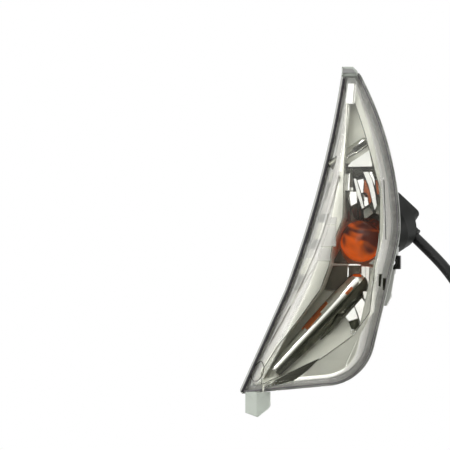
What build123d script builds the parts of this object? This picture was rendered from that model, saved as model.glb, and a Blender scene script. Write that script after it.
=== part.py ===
from build123d import *
import math
import os

# Front turn signal lamp of a small vehicle: a clear creased lens on a moulded housing, with a
# silvered reflector, an amber bulb in a side holder, a rubber boot and a short sleeved lead
# with an open two-way connector. Millimetres. +Z is up, the lens faces -Y, and the origin is
# halfway between the two rear screw bosses, on the plane where they seat.

# Planes across the depth, from the seat of the rear bosses forwards
boss_seat_y = 0.0
housing_back_y = -6.0
flange_back_y = -28.5
flange_front_y = -34.0
channel_depth = 3.5
bead_thickness = 1.0
lens_flange_thickness = 1.8
lens_front_y = -62.0

# Rim outline, seen from the front
rim_top_z = 100.8
rim_top_left_x = 0.0
rim_right_x = 34.8
rim_right_z = 4.0
rim_right_radius = 205.0
rim_lower_right_x = 14.0
rim_lower_right_z = -83.5
rim_lower_corner_radius = 30.0
rim_shoulder_radius = 60.0
rim_lower_left_x = -62.4
rim_lower_left_z = -91.2
rim_left_mid_x = -13.6
rim_left_mid_z = 35.5
rim_left_low_x = -34.2
rim_left_low_z = -28.8
rim_top_corner_radius = 3.0
rim_left_corner_radius = 2.0

# Lens
lens_wall = 2.5
lens_lip = 1.6
lens_left_lip = 2.4
lens_draft = 9.0
lens_left_slope = 0.45
lens_dome_radius = 320.0
lens_dome_x = -8.0
lens_dome_z = -10.0
top_tab_width = 9.0
top_tab_height = 3.2
top_tab_depth = 7.0
top_tab_left_x = 0.6
top_tab_root = 2.5
tongue_left_x = -57.6
tongue_width = 15.0
tongue_tip_z = -104.4
tongue_fold_x = -50.2
tongue_thickness = 3.0
tongue_fold_depth = 3.5
tongue_root = 5.0

# Housing
housing_wall = 2.4
housing_draft = 4.0
channel_outer_wall = 1.2
channel_width = 3.2
channel_inner_wall = 2.5
seal_strip_height = 2.2
seal_strip_clearance = 0.15
seal_strip_top_margin = 3.6
seal_strip_foot_margin = 1.5
fit_gap = 0.3

# Rear screw bosses and the pilot holes of the fixing screws
boss_spacing = 123.0
boss_radius = 4.8
boss_hole_radius = 1.65
boss_hole_depth = 14.0
boss_start_y = -24.0
boss_core_radius = 3.6
boss_core_end = 1.6
boss_gusset_thickness = 1.6
boss_gusset_reach = 9.0

# Side lug with its spring clip nut
lug_top_z = -3.0
lug_bottom_z = -38.0
lug_reach_x = 33.0
lug_inner_x = 20.0
lug_back_y = -16.0
lug_hole_x = 29.8
lug_hole_z = -12.2
lug_hole_radius = 2.0
lug_pocket_depth = 7.0
clip_width = 8.0
clip_sheet = 0.8
clip_nut_radius = 2.8
clip_screw_radius = 1.6
clip_nut_height = 3.0

# Bulb: a ball on the axis of its holder
ball_x = 11.0
ball_y = -27.0
ball_z = 0.6
ball_radius = 12.4
glass_wall = 0.8
neck_radius = 7.0
neck_end = 19.0
cap_radius = 7.6
cap_start = 17.0
cap_end = 33.0
cap_wall = 0.6
cap_pin_radius = 1.0
cap_pin_reach = 1.4
cap_pin_place = 25.0
contact_radius = 3.2
contact_height = 1.6
filament_radius = 0.35
filament_lift = 1.5
filament_overhang = 0.4
support_radius = 0.3
support_spread = 2.6
stem_height = 3.0
stem_clearance = 0.6
seal_off = 1.5

# Bulb holder, its seal and its rubber boot; distances along the axis run from the ball's centre
axis_x = 0.533
axis_y = 0.76
axis_z = 0.372
bulb_clearance = 0.6
collar_wall = 1.6
collar_start = 14.0
collar_end = 26.0
collar_face_thickness = 3.0
collar_face_land = 0.8
holder_slide = 0.6
holder_front = 13.5
holder_bore_radius = 9.2
holder_seal_thickness = 1.0
holder_flange_radius = 15.2
holder_flange_thickness = 3.0
holder_relief_depth = 6.0
holder_relief_outer_wall = 1.8
holder_relief_inner_wall = 1.6
holder_rear_end = 41.0
holder_rear_wall = 1.8
holder_rear_radius = 10.5
shell_wall = 0.7
shell_start = 15.5
shell_end = 34.5
plunger_radius = 4.4
plunger_thickness = 0.8
spring_wire_radius = 0.35
spring_coil_radius = 3.2
spring_turns = 2.5
boot_skirt_start = 17.5
boot_skirt_lip = 1.0
boot_skirt_rise = 5.5
boot_rim_radius = 18.0
boot_rim_thickness = 2.0
boot_block_end = 43.6
boot_block_half_width = 12.2
boot_block_reach = 9.4
boot_block_rear = 11.4
boot_block_corner = 3.0
boot_block_chamfer = 2.0
boot_spout_radius = 5.2
boot_spout_length = 6.6
boot_spout_place = 35.5
boot_spout_grip = 5.0
boot_groove_count = 3
boot_groove_start = 1.2
boot_groove_pitch = 1.7
boot_groove_width = 0.8
boot_groove_depth = 0.8

# Reflector moulding
reflector_wall = 1.8
reflector_cup_wall = 1.2
reflector_gap = 0.7
reflector_side_gap = 0.4
reflector_drop = 3.0
reflector_back_y = -11.6
bulb_hole_gap = 0.4
bulb_hole_start = 6.0
bowl_sides = 18
bowl_top_z = 46.5
bowl_low_z = 13.0
bowl_tiers = [(0.0, 12.0), (0.42, 11.0), (0.72, 8.0), (1.0, 4.0)]
bowl_top_x = 13.2
bowl_low_x = 10.4
bowl_forward = 1.5
bowl_low_back = 5.0
upper_ledge_y = -31.0
upper_slope_front_y = -50.0
upper_slope_top_z = 88.0
bowl_ledge_y = -21.0
lamp_pocket_y = -13.0
lamp_pocket_low_z = -15.0
lower_ledge_y = -24.0
lower_slope_end_y = -42.0
lower_slope_end_z = -88.0
upper_tube_radius = 2.7
lower_tube_top_radius = 6.9
lower_tube_end_radius = 3.8
upper_tube_right = (13.0, -35.0, 59.4)
upper_tube_left = (-6.6, -36.0, 44.0)
lower_tube_top = (8.6, -31.5, -24.5)
lower_tube_end = (-38.5, -43.5, -74.5)
tube_margin = 0.4
wing_step_count = 5
wing_step_pitch = 8.0
wing_step_height = 4.0
wing_step_depth = 1.0
wing_step_top_z = 14.0
stake_x = 6.0
stake_z = -58.0
stake_radius = 1.5
stake_bore = 0.7
stake_height = 0.6
face_slot_x = 22.8
face_slot_z = -24.0
face_slot_width = 1.4
face_slot_height = 8.0
side_slot_z = -28.0
side_slot_height = 12.0
side_slot_front_y = -50.0
side_slot_depth = 5.0

# Lead: a woven sleeve over two wires, down to the connector
sleeve_diameter = 6.6
connector_body_length = 30.0
connector_width = 22.0
connector_thickness = 15.0
connector_wall = 1.6
connector_shroud_depth = 17.0
connector_collar_width = 24.5
connector_collar_thickness = 17.0
connector_collar_length = 4.0
connector_latch_width = 6.0
connector_latch_reach = 2.4
connector_latch_length = 7.0
connector_rib_count = 3
terminal_width = 2.8
terminal_thickness = 0.8
terminal_spacing = 8.0
tower_width = 6.4
tower_depth = 8.4
tower_height = 7.0

# Small pieces at the back
vent_radius = 3.6
vent_height = 4.5
vent_x = -14.0
vent_z = -30.0
screw_head_radius = 3.0
screw_head_height = 1.8
screw_shank_radius = 1.3
screw_depth = 9.0
screw_places = [(-5.0, 18.0), (-4.0, -70.0)]
post_radius = 3.0


# Worked out from the sizes above: the rim's top right, and lengths that reach past the whole lamp
rim_top_right_x = rim_right_x - rim_right_radius + math.sqrt(rim_right_radius**2 - (rim_top_z - rim_right_z) ** 2)
lamp_height = rim_top_z - rim_lower_left_z
far_reach = 2 * lamp_height
lens_depth = flange_front_y - lens_front_y
collar_bore_radius = ball_radius + bulb_clearance
collar_radius = collar_bore_radius + collar_wall
collar_face_radius = holder_flange_radius + 2 * collar_face_land
holder_body_radius = collar_bore_radius - holder_slide


def front_plane(y):
    """A plane facing the lens side at depth y, drawn in X and Z."""
    return Plane(origin=(0, y, 0), x_dir=(1, 0, 0), z_dir=(0, -1, 0))


def left_edge(shift=0.0):
    """The rim's left side, from the top to the foot, moved right by shift."""
    top = (rim_top_left_x + shift, rim_top_z)
    middle = (rim_left_mid_x + shift, rim_left_mid_z)
    low = (rim_left_low_x + shift, rim_left_low_z)
    foot = (rim_lower_left_x + shift, rim_lower_left_z)
    return top, middle, low, foot


def near_corner(face, x, z, reach=0.01):
    """The corner of a flat outline that lies at x and z."""
    return [v for v in face.vertices() if abs(v.X - x) < reach and abs(v.Y - z) < reach]


def rim_outline():
    """The outline of the rim, with its shoulder, foot and corners rounded."""
    top, middle, low, foot = left_edge()
    rise = rim_top_z - rim_right_z
    sag = math.sqrt(rim_right_radius**2 - (rise / 2) ** 2)
    mid_x = rim_right_x - rim_right_radius + sag
    edges = [
        Line(top, (rim_top_right_x, rim_top_z)),
        ThreePointArc((rim_top_right_x, rim_top_z), (mid_x, rim_right_z + rise / 2), (rim_right_x, rim_right_z)),
        Line((rim_right_x, rim_right_z), (rim_lower_right_x, rim_lower_right_z)),
        Line((rim_lower_right_x, rim_lower_right_z), foot),
        Line(foot, low),
        ThreePointArc(low, middle, top),
    ]
    face = make_face(edges)
    face = fillet(near_corner(face, rim_lower_right_x, rim_lower_right_z), rim_lower_corner_radius)
    face = fillet(near_corner(face, rim_right_x, rim_right_z), rim_shoulder_radius)
    face = fillet(near_corner(face, rim_top_right_x, rim_top_z), rim_top_corner_radius)
    face = fillet(near_corner(face, foot[0], foot[1]), rim_left_corner_radius)
    return face


rim = rim_outline()


def inset_rim(inset):
    """The rim's outline drawn in by inset."""
    if inset <= 0:
        return rim
    return offset(rim, -inset)


def slab(face, y_back, y_front, taper=0.0):
    """A flat outline carried from y_back forwards to y_front."""
    return extrude(front_plane(y_back) * face, amount=y_back - y_front, taper=taper)


def left_prism(shift, y_base, length=2 * lens_depth):
    """Everything right of the lens's slanted left face, which leaves y_base at the left edge."""
    top, middle, low, foot = left_edge(shift)
    far = lamp_height
    over = lamp_height / 2
    above = (top[0] + over * (top[0] - middle[0]) / (top[1] - middle[1]) * 0.6, top[1] + over)
    below_slope = (low[0] - foot[0]) / (low[1] - foot[1])
    below = (foot[0] - over * below_slope, foot[1] - over)
    edges = [
        ThreePointArc(top, middle, low),
        Line(low, below),
        Line(below, (far, below[1])),
        Line((far, below[1]), (far, above[1])),
        Line((far, above[1]), above),
        Line(above, top),
    ]
    direction = Vector(lens_left_slope, -1, 0).normalized()
    return extrude(front_plane(y_base) * make_face(edges), amount=length, dir=direction)


def plug(inset, left_shift, drop, y_base):
    """The lens's form drawn in: drafted skirt, slanted left face and domed front."""
    reach = y_base - lens_front_y + lens_depth / 2
    skirt = slab(inset_rim(inset), y_base, y_base - reach, taper=lens_draft)
    dome_centre = (lens_dome_x, lens_front_y + lens_dome_radius, lens_dome_z)
    dome = Pos(*dome_centre) * Sphere(lens_dome_radius - drop)
    return skirt & left_prism(left_shift, y_base, 1.5 * reach) & dome


def ring(outer_inset, inner_inset, y_back, y_front):
    """A band of the rim between two insets."""
    return slab(inset_rim(outer_inset), y_back, y_front) - slab(inset_rim(inner_inset), y_back, y_front)


# Lines and places that several pieces share
lens_foot_y = flange_front_y + channel_depth - bead_thickness
left_wall = lens_wall * math.sqrt(1 + lens_left_slope**2)
skirt_wall = lens_wall / math.cos(math.radians(lens_draft))
channel_inner = channel_outer_wall + channel_width
housing_bore = channel_inner + channel_inner_wall
body_inset = housing_bore - housing_wall
cavity_back_y = housing_back_y - housing_wall

axis = Vector(axis_x, axis_y, axis_z).normalized()
ball_centre = Vector(ball_x, ball_y, ball_z)
lead_aim = Vector(0.722, -0.177, -0.67)
lead_direction = (lead_aim - axis * lead_aim.dot(axis)).normalized()
bulb_plane = Plane(origin=ball_centre, x_dir=lead_direction, z_dir=axis)


def on_axis(place):
    """The bulb's plane moved along its axis to a distance from the ball's centre."""
    return bulb_plane.offset(place)


def disc(radius, start, end):
    """A round solid on the bulb's axis."""
    return extrude(on_axis(start) * Circle(radius), amount=end - start)


def lens():
    """The clear lens: a creased shell with an open back, a flange, a top tab and a foot tongue."""
    outer = plug(lens_lip, lens_left_lip, 0.0, flange_front_y)
    outer = outer + slab(inset_rim(lens_lip), lens_foot_y, flange_front_y)
    inner = plug(lens_lip + skirt_wall, lens_left_lip + left_wall, lens_wall, flange_front_y)
    inner = inner + slab(inset_rim(lens_lip + skirt_wall), lens_foot_y + 1, flange_front_y)
    flange_face_y = flange_front_y - lens_flange_thickness
    flange = ring(0.0, lens_lip + 1.0, flange_front_y, flange_face_y)
    flange = flange & left_prism(lens_left_lip, flange_front_y)
    body = outer + flange + top_tab() + tongue()
    return body - inner


def top_tab():
    """The locating tab on the lens's top, with one corner cut."""
    right = top_tab_left_x + top_tab_width
    top = rim_top_z + top_tab_height
    cut = top_tab_height * 0.8
    points = [
        (top_tab_left_x, rim_top_z - top_tab_root),
        (top_tab_left_x, top),
        (right - cut, top),
        (right, top - cut),
        (right, rim_top_z - top_tab_root),
    ]
    face = make_face(Polyline(*points, close=True))
    return slab(face, flange_front_y, flange_front_y - top_tab_depth)


def tongue():
    """The frosted tongue under the lens's foot: two leaves that meet at a fold."""
    right = tongue_left_x + tongue_width
    root_z = rim_lower_left_z + tongue_root
    front = flange_front_y - tongue_thickness
    section = [
        (tongue_left_x, flange_front_y),
        (right, flange_front_y),
        (right, front + 0.5),
        (tongue_fold_x, front - tongue_fold_depth),
        (tongue_left_x, front),
    ]
    face = make_face(Polyline(*section, close=True))
    body = extrude(Plane.XY.offset(tongue_tip_z) * face, amount=root_z - tongue_tip_z)
    tip = [
        (tongue_left_x, tongue_tip_z + 2.4),
        (tongue_fold_x + 0.6, tongue_tip_z),
        (right - 1.5, tongue_tip_z + 4.5),
        (right, tongue_tip_z + 6.5),
        (right, root_z),
        (tongue_left_x, root_z),
    ]
    return body & slab(make_face(Polyline(*tip, close=True)), flange_front_y + 1, front - 10)


def housing():
    """The moulded housing: a flange with a glue channel, a drafted tray, bosses, collar and lug."""
    flange = slab(rim, flange_back_y, flange_front_y)
    tray = extrude(
        front_plane(flange_back_y) * inset_rim(body_inset),
        amount=housing_back_y - flange_back_y,
        dir=(0, 1, 0),
        taper=housing_draft,
    )
    body = flange + tray + side_lug()
    for side in (1, -1):
        body = body + boss(side)
    mouth = slab(inset_rim(housing_bore), flange_back_y + 0.01, flange_front_y - 1)
    hollow = extrude(
        front_plane(flange_back_y) * inset_rim(housing_bore),
        amount=cavity_back_y - flange_back_y,
        dir=(0, 1, 0),
        taper=housing_draft,
    )
    body = body - mouth - hollow
    body = body - ring(channel_outer_wall, channel_inner, flange_front_y + channel_depth, flange_front_y - 1)
    body = body + collar_outer()
    body = body - disc(holder_flange_radius + collar_face_land, collar_end, collar_end + far_reach)
    body = body + boss_cores()
    body = body - disc(collar_bore_radius, 4.0, collar_end + 1)
    body = body - boss_holes() - screw_holes(screw_shank_radius + fit_gap, boss_seat_y)
    return body


def collar_outer():
    """The collar that takes the bulb holder, cut off behind the flange's front."""
    tube = disc(collar_radius, collar_start, collar_end)
    face = disc(collar_face_radius, collar_end - collar_face_thickness, collar_end)
    keep = Pos(0, flange_back_y + far_reach / 2, 0) * Box(far_reach, far_reach, far_reach)
    return (tube + face) & keep


def boss(side):
    """One rear screw boss: a post with two gussets, from inside the tray to the seat."""
    z = side * boss_spacing / 2
    post = slab(Pos(0, z) * Circle(boss_radius), boss_seat_y, boss_start_y)
    web = Pos(0, (boss_start_y + boss_seat_y) / 2 + 1.5, z) * Box(
        2 * boss_gusset_reach, boss_seat_y - boss_start_y - 3.0, boss_gusset_thickness
    )
    inside = slab(inset_rim(body_inset + 1.0), boss_seat_y, flange_back_y)
    return post + (web & inside)


def boss_cores():
    """The blind ends of both rear bosses, inside the tray."""
    cores = Part()
    for side in (1, -1):
        place = Pos(0, side * boss_spacing / 2)
        cores = cores + slab(place * Circle(boss_core_radius), cavity_back_y, -boss_hole_depth - boss_core_end)
    return cores


def boss_holes():
    """The pilot holes of both rear bosses."""
    holes = Part()
    for side in (1, -1):
        hole = slab(Pos(0, side * boss_spacing / 2) * Circle(boss_hole_radius), boss_seat_y + 1, -boss_hole_depth)
        holes = holes + hole
    return holes


def screw_holes(radius, y_back, y_front=cavity_back_y - 1):
    """Round holes where the reflector's screws go."""
    holes = Part()
    for x, z in screw_places:
        holes = holes + slab(Pos(x, z) * Circle(radius), y_back, y_front)
    return holes


def reflector_screws():
    """The screws that hold the reflector's posts to the housing's floor."""
    heads = screw_holes(screw_head_radius, housing_back_y + screw_head_height, housing_back_y)
    slots = Part()
    for x, z in screw_places:
        place = Pos(x, z)
        cross = place * Rectangle(3.4, 0.9) + place * Rectangle(0.9, 3.4)
        slots = slots + slab(cross, housing_back_y + screw_head_height, housing_back_y + screw_head_height - 0.9)
    shanks = screw_holes(screw_shank_radius, housing_back_y, cavity_back_y - screw_depth)
    return heads - slots + shanks


def lug_outline():
    """The side lug seen from the front: its outer edge runs beside the rim."""
    points = [
        (lug_inner_x, lug_top_z),
        (lug_reach_x, lug_top_z),
        (lug_reach_x - 0.6, lug_top_z - 7.0),
        (lug_reach_x - 4.4, lug_bottom_z + 5.0),
        (lug_reach_x - 6.8, lug_bottom_z),
        (lug_inner_x - 6.0, lug_bottom_z),
    ]
    return make_face(Polyline(*points, close=True))


def side_lug():
    """The lug at the right, open at the back as a pocket, with the clip nut's hole."""
    block = slab(lug_outline(), lug_back_y, flange_back_y)
    pocket_face = Pos(lug_hole_x, lug_hole_z - 13.0) * Rectangle(6.0, 12.0)
    pocket = slab(pocket_face, lug_back_y + 1, lug_back_y - lug_pocket_depth)
    relief_face = Pos(lug_hole_x + 4.6, lug_hole_z) * Rectangle(16.0, clip_width + 1.0)
    relief = slab(relief_face, flange_back_y + 4.5, flange_back_y - 1)
    hole = slab(Pos(lug_hole_x, lug_hole_z) * Circle(lug_hole_radius), lug_back_y + 1, flange_back_y - 1)
    return block - pocket - relief - hole


def clip_nut():
    """The spring clip nut: a folded strip over the lug with a tapped barrel in front."""
    front_y = flange_back_y + 4.5
    back_y = lug_back_y
    outer_x = lug_reach_x + 1.2
    inner_x = lug_hole_x - clip_nut_radius
    centre_z = lug_hole_z
    front_leg = Pos((outer_x + inner_x) / 2, front_y - clip_sheet / 2, centre_z) * Box(
        outer_x - inner_x, clip_sheet, clip_width
    )
    back_leg = Pos((outer_x + inner_x) / 2, back_y + clip_sheet / 2, centre_z) * Box(
        outer_x - inner_x, clip_sheet, clip_width
    )
    bend = Pos(outer_x - clip_sheet / 2, (front_y + back_y) / 2, centre_z) * Box(
        clip_sheet, back_y - front_y + 2 * clip_sheet, clip_width
    )
    place = Pos(lug_hole_x, lug_hole_z)
    leg_face_y = front_y - clip_sheet
    barrel = slab(place * Circle(clip_nut_radius), leg_face_y, leg_face_y - clip_nut_height)
    thread = slab(place * Circle(clip_screw_radius), front_y + 1, leg_face_y - clip_nut_height - 1)
    clearance = slab(place * Circle(lug_hole_radius), back_y + 2, back_y - 1)
    return front_leg + back_leg + bend + barrel - thread - clearance


def sealant_bead():
    """The dark bead of sealant at the foot of the glue channel."""
    return ring(channel_outer_wall + 0.05, channel_inner - 0.05, flange_front_y + channel_depth, lens_foot_y)


def seal_strip():
    """The dark foam strip beside the lens's left edge, on the housing's flange."""
    strip = slab(rim, flange_front_y, flange_front_y - seal_strip_height)
    strip = strip - left_prism(lens_left_lip - seal_strip_clearance, flange_front_y)
    top_z = rim_top_z - seal_strip_top_margin
    foot_z = rim_lower_left_z + seal_strip_foot_margin
    keep = Pos(0, 0, (top_z + foot_z) / 2) * Box(far_reach, far_reach, top_z - foot_z)
    return (strip & keep) - tongue()


# Points of the reflector's opening, seen from the front
opening_right = [
    (8.7, 81.6),
    (14.7, 64.2),
    (20.1, 45.0),
    (24.0, 31.2),
    (24.0, -1.8),
    (21.3, -13.8),
    (18.3, -40.8),
    (7.5, -55.2),
    (-11.7, -69.0),
    (-32.7, -78.0),
    (-46.5, -84.0),
]
opening_left = [
    (-46.0, -76.0),
    (-35.7, -60.5),
    (-23.7, -45.5),
    (-10.5, -27.6),
    (-5.4, -13.8),
    (-3.2, -0.6),
    (2.6, 14.0),
    (3.0, 45.0),
    (4.6, 82.2),
]
opening_round = 1.2


def opening():
    """The reflector's opening, with its corners softened."""
    face = make_face(Polyline(*opening_right, *opening_left, close=True))
    return fillet(face.vertices(), opening_round)


def floor_points(extra=0.0):
    """The opening's floor from top to foot, as depth against height, moved back by extra."""
    return [
        (upper_slope_front_y + extra, upper_slope_top_z + extra),
        (upper_ledge_y + extra, bowl_top_z + extra),
        (bowl_ledge_y + extra, bowl_top_z + extra),
        (bowl_ledge_y + extra, bowl_low_z + extra),
        (lamp_pocket_y + extra, bowl_low_z + extra),
        (lamp_pocket_y + extra, lamp_pocket_low_z - extra),
        (lower_ledge_y + extra, lamp_pocket_low_z - 2.0 - extra),
        (lower_slope_end_y + extra, lower_slope_end_z - extra),
    ]


def floor_prism(extra=0.0):
    """Everything in front of the opening's floor."""
    front = lens_front_y - lens_depth
    points = floor_points(extra)
    outline = [(front, points[0][1])] + points + [(front, points[-1][1])]
    face = make_face(Polyline(*outline, close=True))
    return extrude(Plane.YZ.offset(-lamp_height) * face, amount=2 * lamp_height)


def bowl_cone(extra=0.0):
    """A faceted bowl of three tiers, whose flat sides fan down to the ball."""
    tiers = []
    for share, radius in bowl_tiers:
        x = bowl_top_x + (bowl_low_x - bowl_top_x) * share
        y_top = upper_ledge_y + bowl_forward
        y = y_top + (ball_y + bowl_low_back - y_top) * share
        z = bowl_top_z + (bowl_low_z - bowl_top_z) * share
        tiers.append(Plane.XY.offset(z) * Pos(x, y) * RegularPolygon(radius + extra, bowl_sides))
    return loft(tiers, ruled=True)


def rod(start, end, start_radius, end_radius):
    """A tapered round rod between two points, with a round start."""
    line = Vector(*end) - Vector(*start)
    plane = Plane(origin=start, z_dir=line.normalized())
    body = loft([plane * Circle(start_radius), plane.offset(line.length) * Circle(end_radius)])
    return body + Pos(*start) * Sphere(start_radius)


def lower_tube(extra=0.0):
    """The large chrome tube below the bulb, lying on the lower slope."""
    return rod(lower_tube_top, lower_tube_end, lower_tube_top_radius + extra, lower_tube_end_radius + extra)


def upper_tube():
    """The slim chrome tube above the bowl."""
    return rod(upper_tube_right, upper_tube_left, upper_tube_radius, upper_tube_radius)


def wing_steps(inset, left_shift, drop):
    """The shallow steps across the reflector's left wing, one below the other."""
    skin = plug(inset - fit_gap, left_shift - fit_gap, drop - fit_gap, flange_front_y)
    depth = wing_step_depth
    core = plug(inset + depth, left_shift + depth, drop + depth, flange_front_y + 0.01)
    bands = Part()
    for index in range(wing_step_count):
        z = wing_step_top_z - index * wing_step_pitch
        bands = bands + Pos(0, lens_front_y, z) * Box(far_reach, 2 * lens_depth, wing_step_height)
    return (skin - core) & bands


def stake_ring():
    """The small raised ring below the opening, where a stake is melted over."""
    ring_face = Pos(stake_x, stake_z) * (Circle(stake_radius) - Circle(stake_bore))
    return slab(ring_face, flange_front_y, lens_front_y - lens_depth)


def bezel_slots():
    """The slot in the reflector's face and the window in its skirt, at the right of the opening."""
    face_slot = Pos(face_slot_x, face_slot_z) * Rectangle(face_slot_width, face_slot_height)
    centre_y = side_slot_front_y + side_slot_depth / 2
    window = Pos(far_reach / 2 + face_slot_x, centre_y, side_slot_z) * Box(far_reach, side_slot_depth, side_slot_height)
    return slab(face_slot, side_slot_front_y, lens_front_y) + window


def reflector():
    """The silvered reflector: a stepped face that follows the lens, a fluted bowl and two tubes."""
    skin_inset = lens_lip + skirt_wall + reflector_gap + reflector_side_gap
    skin_shift = lens_left_lip + left_wall + reflector_gap
    skin_drop = lens_wall + reflector_drop
    outer = plug(skin_inset, skin_shift, skin_drop, flange_front_y)
    inner = plug(
        skin_inset + reflector_wall,
        skin_shift + reflector_wall,
        skin_drop + reflector_wall,
        flange_front_y + 0.01,
    )
    mouth = opening()
    cup = slab(offset(mouth, reflector_cup_wall), reflector_back_y, lens_front_y - 5)
    cup = cup & floor_prism(reflector_cup_wall) & (outer + back_room())
    hollow = slab(mouth, reflector_back_y - 0.2, lens_front_y - lens_depth) & floor_prism()
    bowl = bowl_cone(reflector_cup_wall) & back_room()
    ring_top = plug(skin_inset, skin_shift, skin_drop - stake_height, flange_front_y)
    body = (outer - inner) - wing_steps(skin_inset, skin_shift, skin_drop) + (stake_ring() & (ring_top - inner))
    body = body - bezel_slots() + cup
    body = body + (bowl & slab(offset(mouth, reflector_cup_wall), reflector_back_y, lens_front_y))
    body = body - hollow
    body = body - (bowl_cone() & slab(mouth, reflector_back_y - 0.2, lens_front_y))
    tubes = (lower_tube() + upper_tube()) & slab(offset(mouth, tube_margin), reflector_back_y, lens_front_y)
    body = body + tubes
    posts = screw_holes(post_radius, flange_front_y, lens_front_y) & outer
    body = body + posts + screw_holes(post_radius, cavity_back_y, flange_front_y)
    body = body - screw_holes(screw_shank_radius + 0.02, cavity_back_y + 1, cavity_back_y - screw_depth - 1)
    body = body - disc(collar_bore_radius + bulb_hole_gap, bulb_hole_start, collar_end + far_reach)
    body = body - disc(collar_radius + bulb_hole_gap, collar_start - bulb_hole_gap, collar_end + far_reach)
    face_start = collar_end - collar_face_thickness - bulb_hole_gap
    body = body - disc(collar_face_radius + bulb_hole_gap, face_start, collar_end + far_reach)
    return largest(body)


def back_room():
    """The room behind the rim that the reflector may fill."""
    return extrude(
        front_plane(flange_front_y) * inset_rim(housing_bore + fit_gap),
        amount=reflector_back_y - flange_front_y,
        dir=(0, 1, 0),
        taper=housing_draft,
    )


def largest(body):
    """The body's one large solid, without loose slivers."""
    solids = sorted(body.solids(), key=lambda s: s.volume)
    return solids[-1]


def bulb_glass():
    """The amber glass: a hollow ball with a neck."""
    ball = Pos(*ball_centre) * Sphere(ball_radius) + disc(neck_radius, 0.0, neck_end)
    hollow = Pos(*ball_centre) * Sphere(ball_radius - glass_wall)
    hollow = hollow + disc(neck_radius - glass_wall, 0.0, neck_end - seal_off)
    return ball - hollow


def bulb_cap():
    """The bulb's metal cap with its two side pins."""
    outer = disc(cap_radius, cap_start, cap_end)
    inner = disc(neck_radius + 0.02, cap_start - 1, neck_end) + disc(cap_radius - cap_wall, neck_end, cap_end - 0.8)
    pin_plane = Plane(origin=on_axis(cap_pin_place).origin, x_dir=axis, z_dir=lead_direction)
    reach = cap_radius + cap_pin_reach
    pins = extrude(pin_plane * Circle(cap_pin_radius), amount=reach, both=True)
    pins = pins - disc(cap_radius - cap_wall / 2, cap_start, cap_end)
    return outer - inner + pins


def bulb_contact():
    """The solder contact on the cap's end."""
    return fillet(disc(contact_radius, cap_end, cap_end + contact_height).edges().sort_by(Axis.Y)[-1:], 0.4)


def bulb_filament():
    """The filament, its two support wires and the stem that holds them."""
    wires = Part()
    for side in (1, -1):
        place = bulb_plane.offset(-filament_lift) * Pos(side * support_spread, 0)
        wires = wires + extrude(place * Circle(support_radius), amount=neck_end - seal_off + filament_lift)
    bar_plane = Plane(origin=on_axis(-filament_lift).origin, x_dir=axis, z_dir=lead_direction)
    half_span = support_spread + filament_overhang
    wires = wires + extrude(bar_plane * Circle(filament_radius), amount=half_span, both=True)
    stem_end = neck_end - seal_off
    stem = disc(neck_radius - glass_wall - stem_clearance, stem_end - stem_height, stem_end)
    return wires + stem


def bulb_holder():
    """The moulded holder: a body with a flange, a socket bore and a ring of relief at its front."""
    body = disc(holder_body_radius, holder_front, collar_end)
    flange_start = collar_end + holder_seal_thickness
    flange = disc(holder_flange_radius, flange_start, flange_start + holder_flange_thickness)
    neck = disc(holder_body_radius, collar_end, flange_start)
    rear = disc(holder_rear_radius, flange_start, holder_rear_end)
    bore = disc(holder_bore_radius, holder_front - 1, holder_rear_end - holder_rear_wall)
    relief_end = holder_front + holder_relief_depth
    relief = disc(holder_body_radius - holder_relief_outer_wall, holder_front - 1, relief_end)
    relief = relief - disc(holder_bore_radius + holder_relief_inner_wall, holder_front - 1, relief_end)
    return body + neck + flange + rear - bore - relief


def bayonet_shell():
    """The sprung metal shell that takes the bulb's cap, with slots for its pins."""
    outer = disc(holder_bore_radius, shell_start, shell_end)
    inner = disc(holder_bore_radius - shell_wall, shell_start - 1, shell_end + 1)
    slot_plane = on_axis(shell_start - 1)
    slot_length = cap_pin_place + cap_pin_radius + 0.4 - shell_start + 1
    slot = extrude(slot_plane * Rectangle(40, 2 * cap_pin_radius + 0.6), amount=slot_length)
    return outer - inner - slot


def contact_plunger():
    """The disc that presses on the bulb's contact."""
    start = cap_end + contact_height
    return disc(plunger_radius, start, start + plunger_thickness)


def contact_spring():
    """The coil spring between the plunger and the holder's end."""
    start = cap_end + contact_height + plunger_thickness + spring_wire_radius
    height = holder_rear_end - holder_rear_wall - spring_wire_radius - start
    helix = Helix(pitch=height / spring_turns, height=height, radius=spring_coil_radius)
    path = on_axis(start).location * helix
    section = Plane(origin=path @ 0, z_dir=path % 0) * Circle(spring_wire_radius)
    return sweep(section, path=path)


def holder_seal():
    """The flat rubber ring between the holder's flange and the collar."""
    outer = disc(collar_radius, collar_end, collar_end + holder_seal_thickness)
    return outer - disc(holder_body_radius + 0.15, collar_end - 1, collar_end + 2)


def tray_room():
    """The housing's tray and lug grown by the fit gap: where the boot gives way."""
    tray = extrude(
        front_plane(flange_back_y) * inset_rim(body_inset - fit_gap),
        amount=housing_back_y + fit_gap - flange_back_y,
        dir=(0, 1, 0),
        taper=housing_draft,
    )
    return tray + slab(offset(lug_outline(), fit_gap), lug_back_y + fit_gap, flange_back_y)


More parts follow.
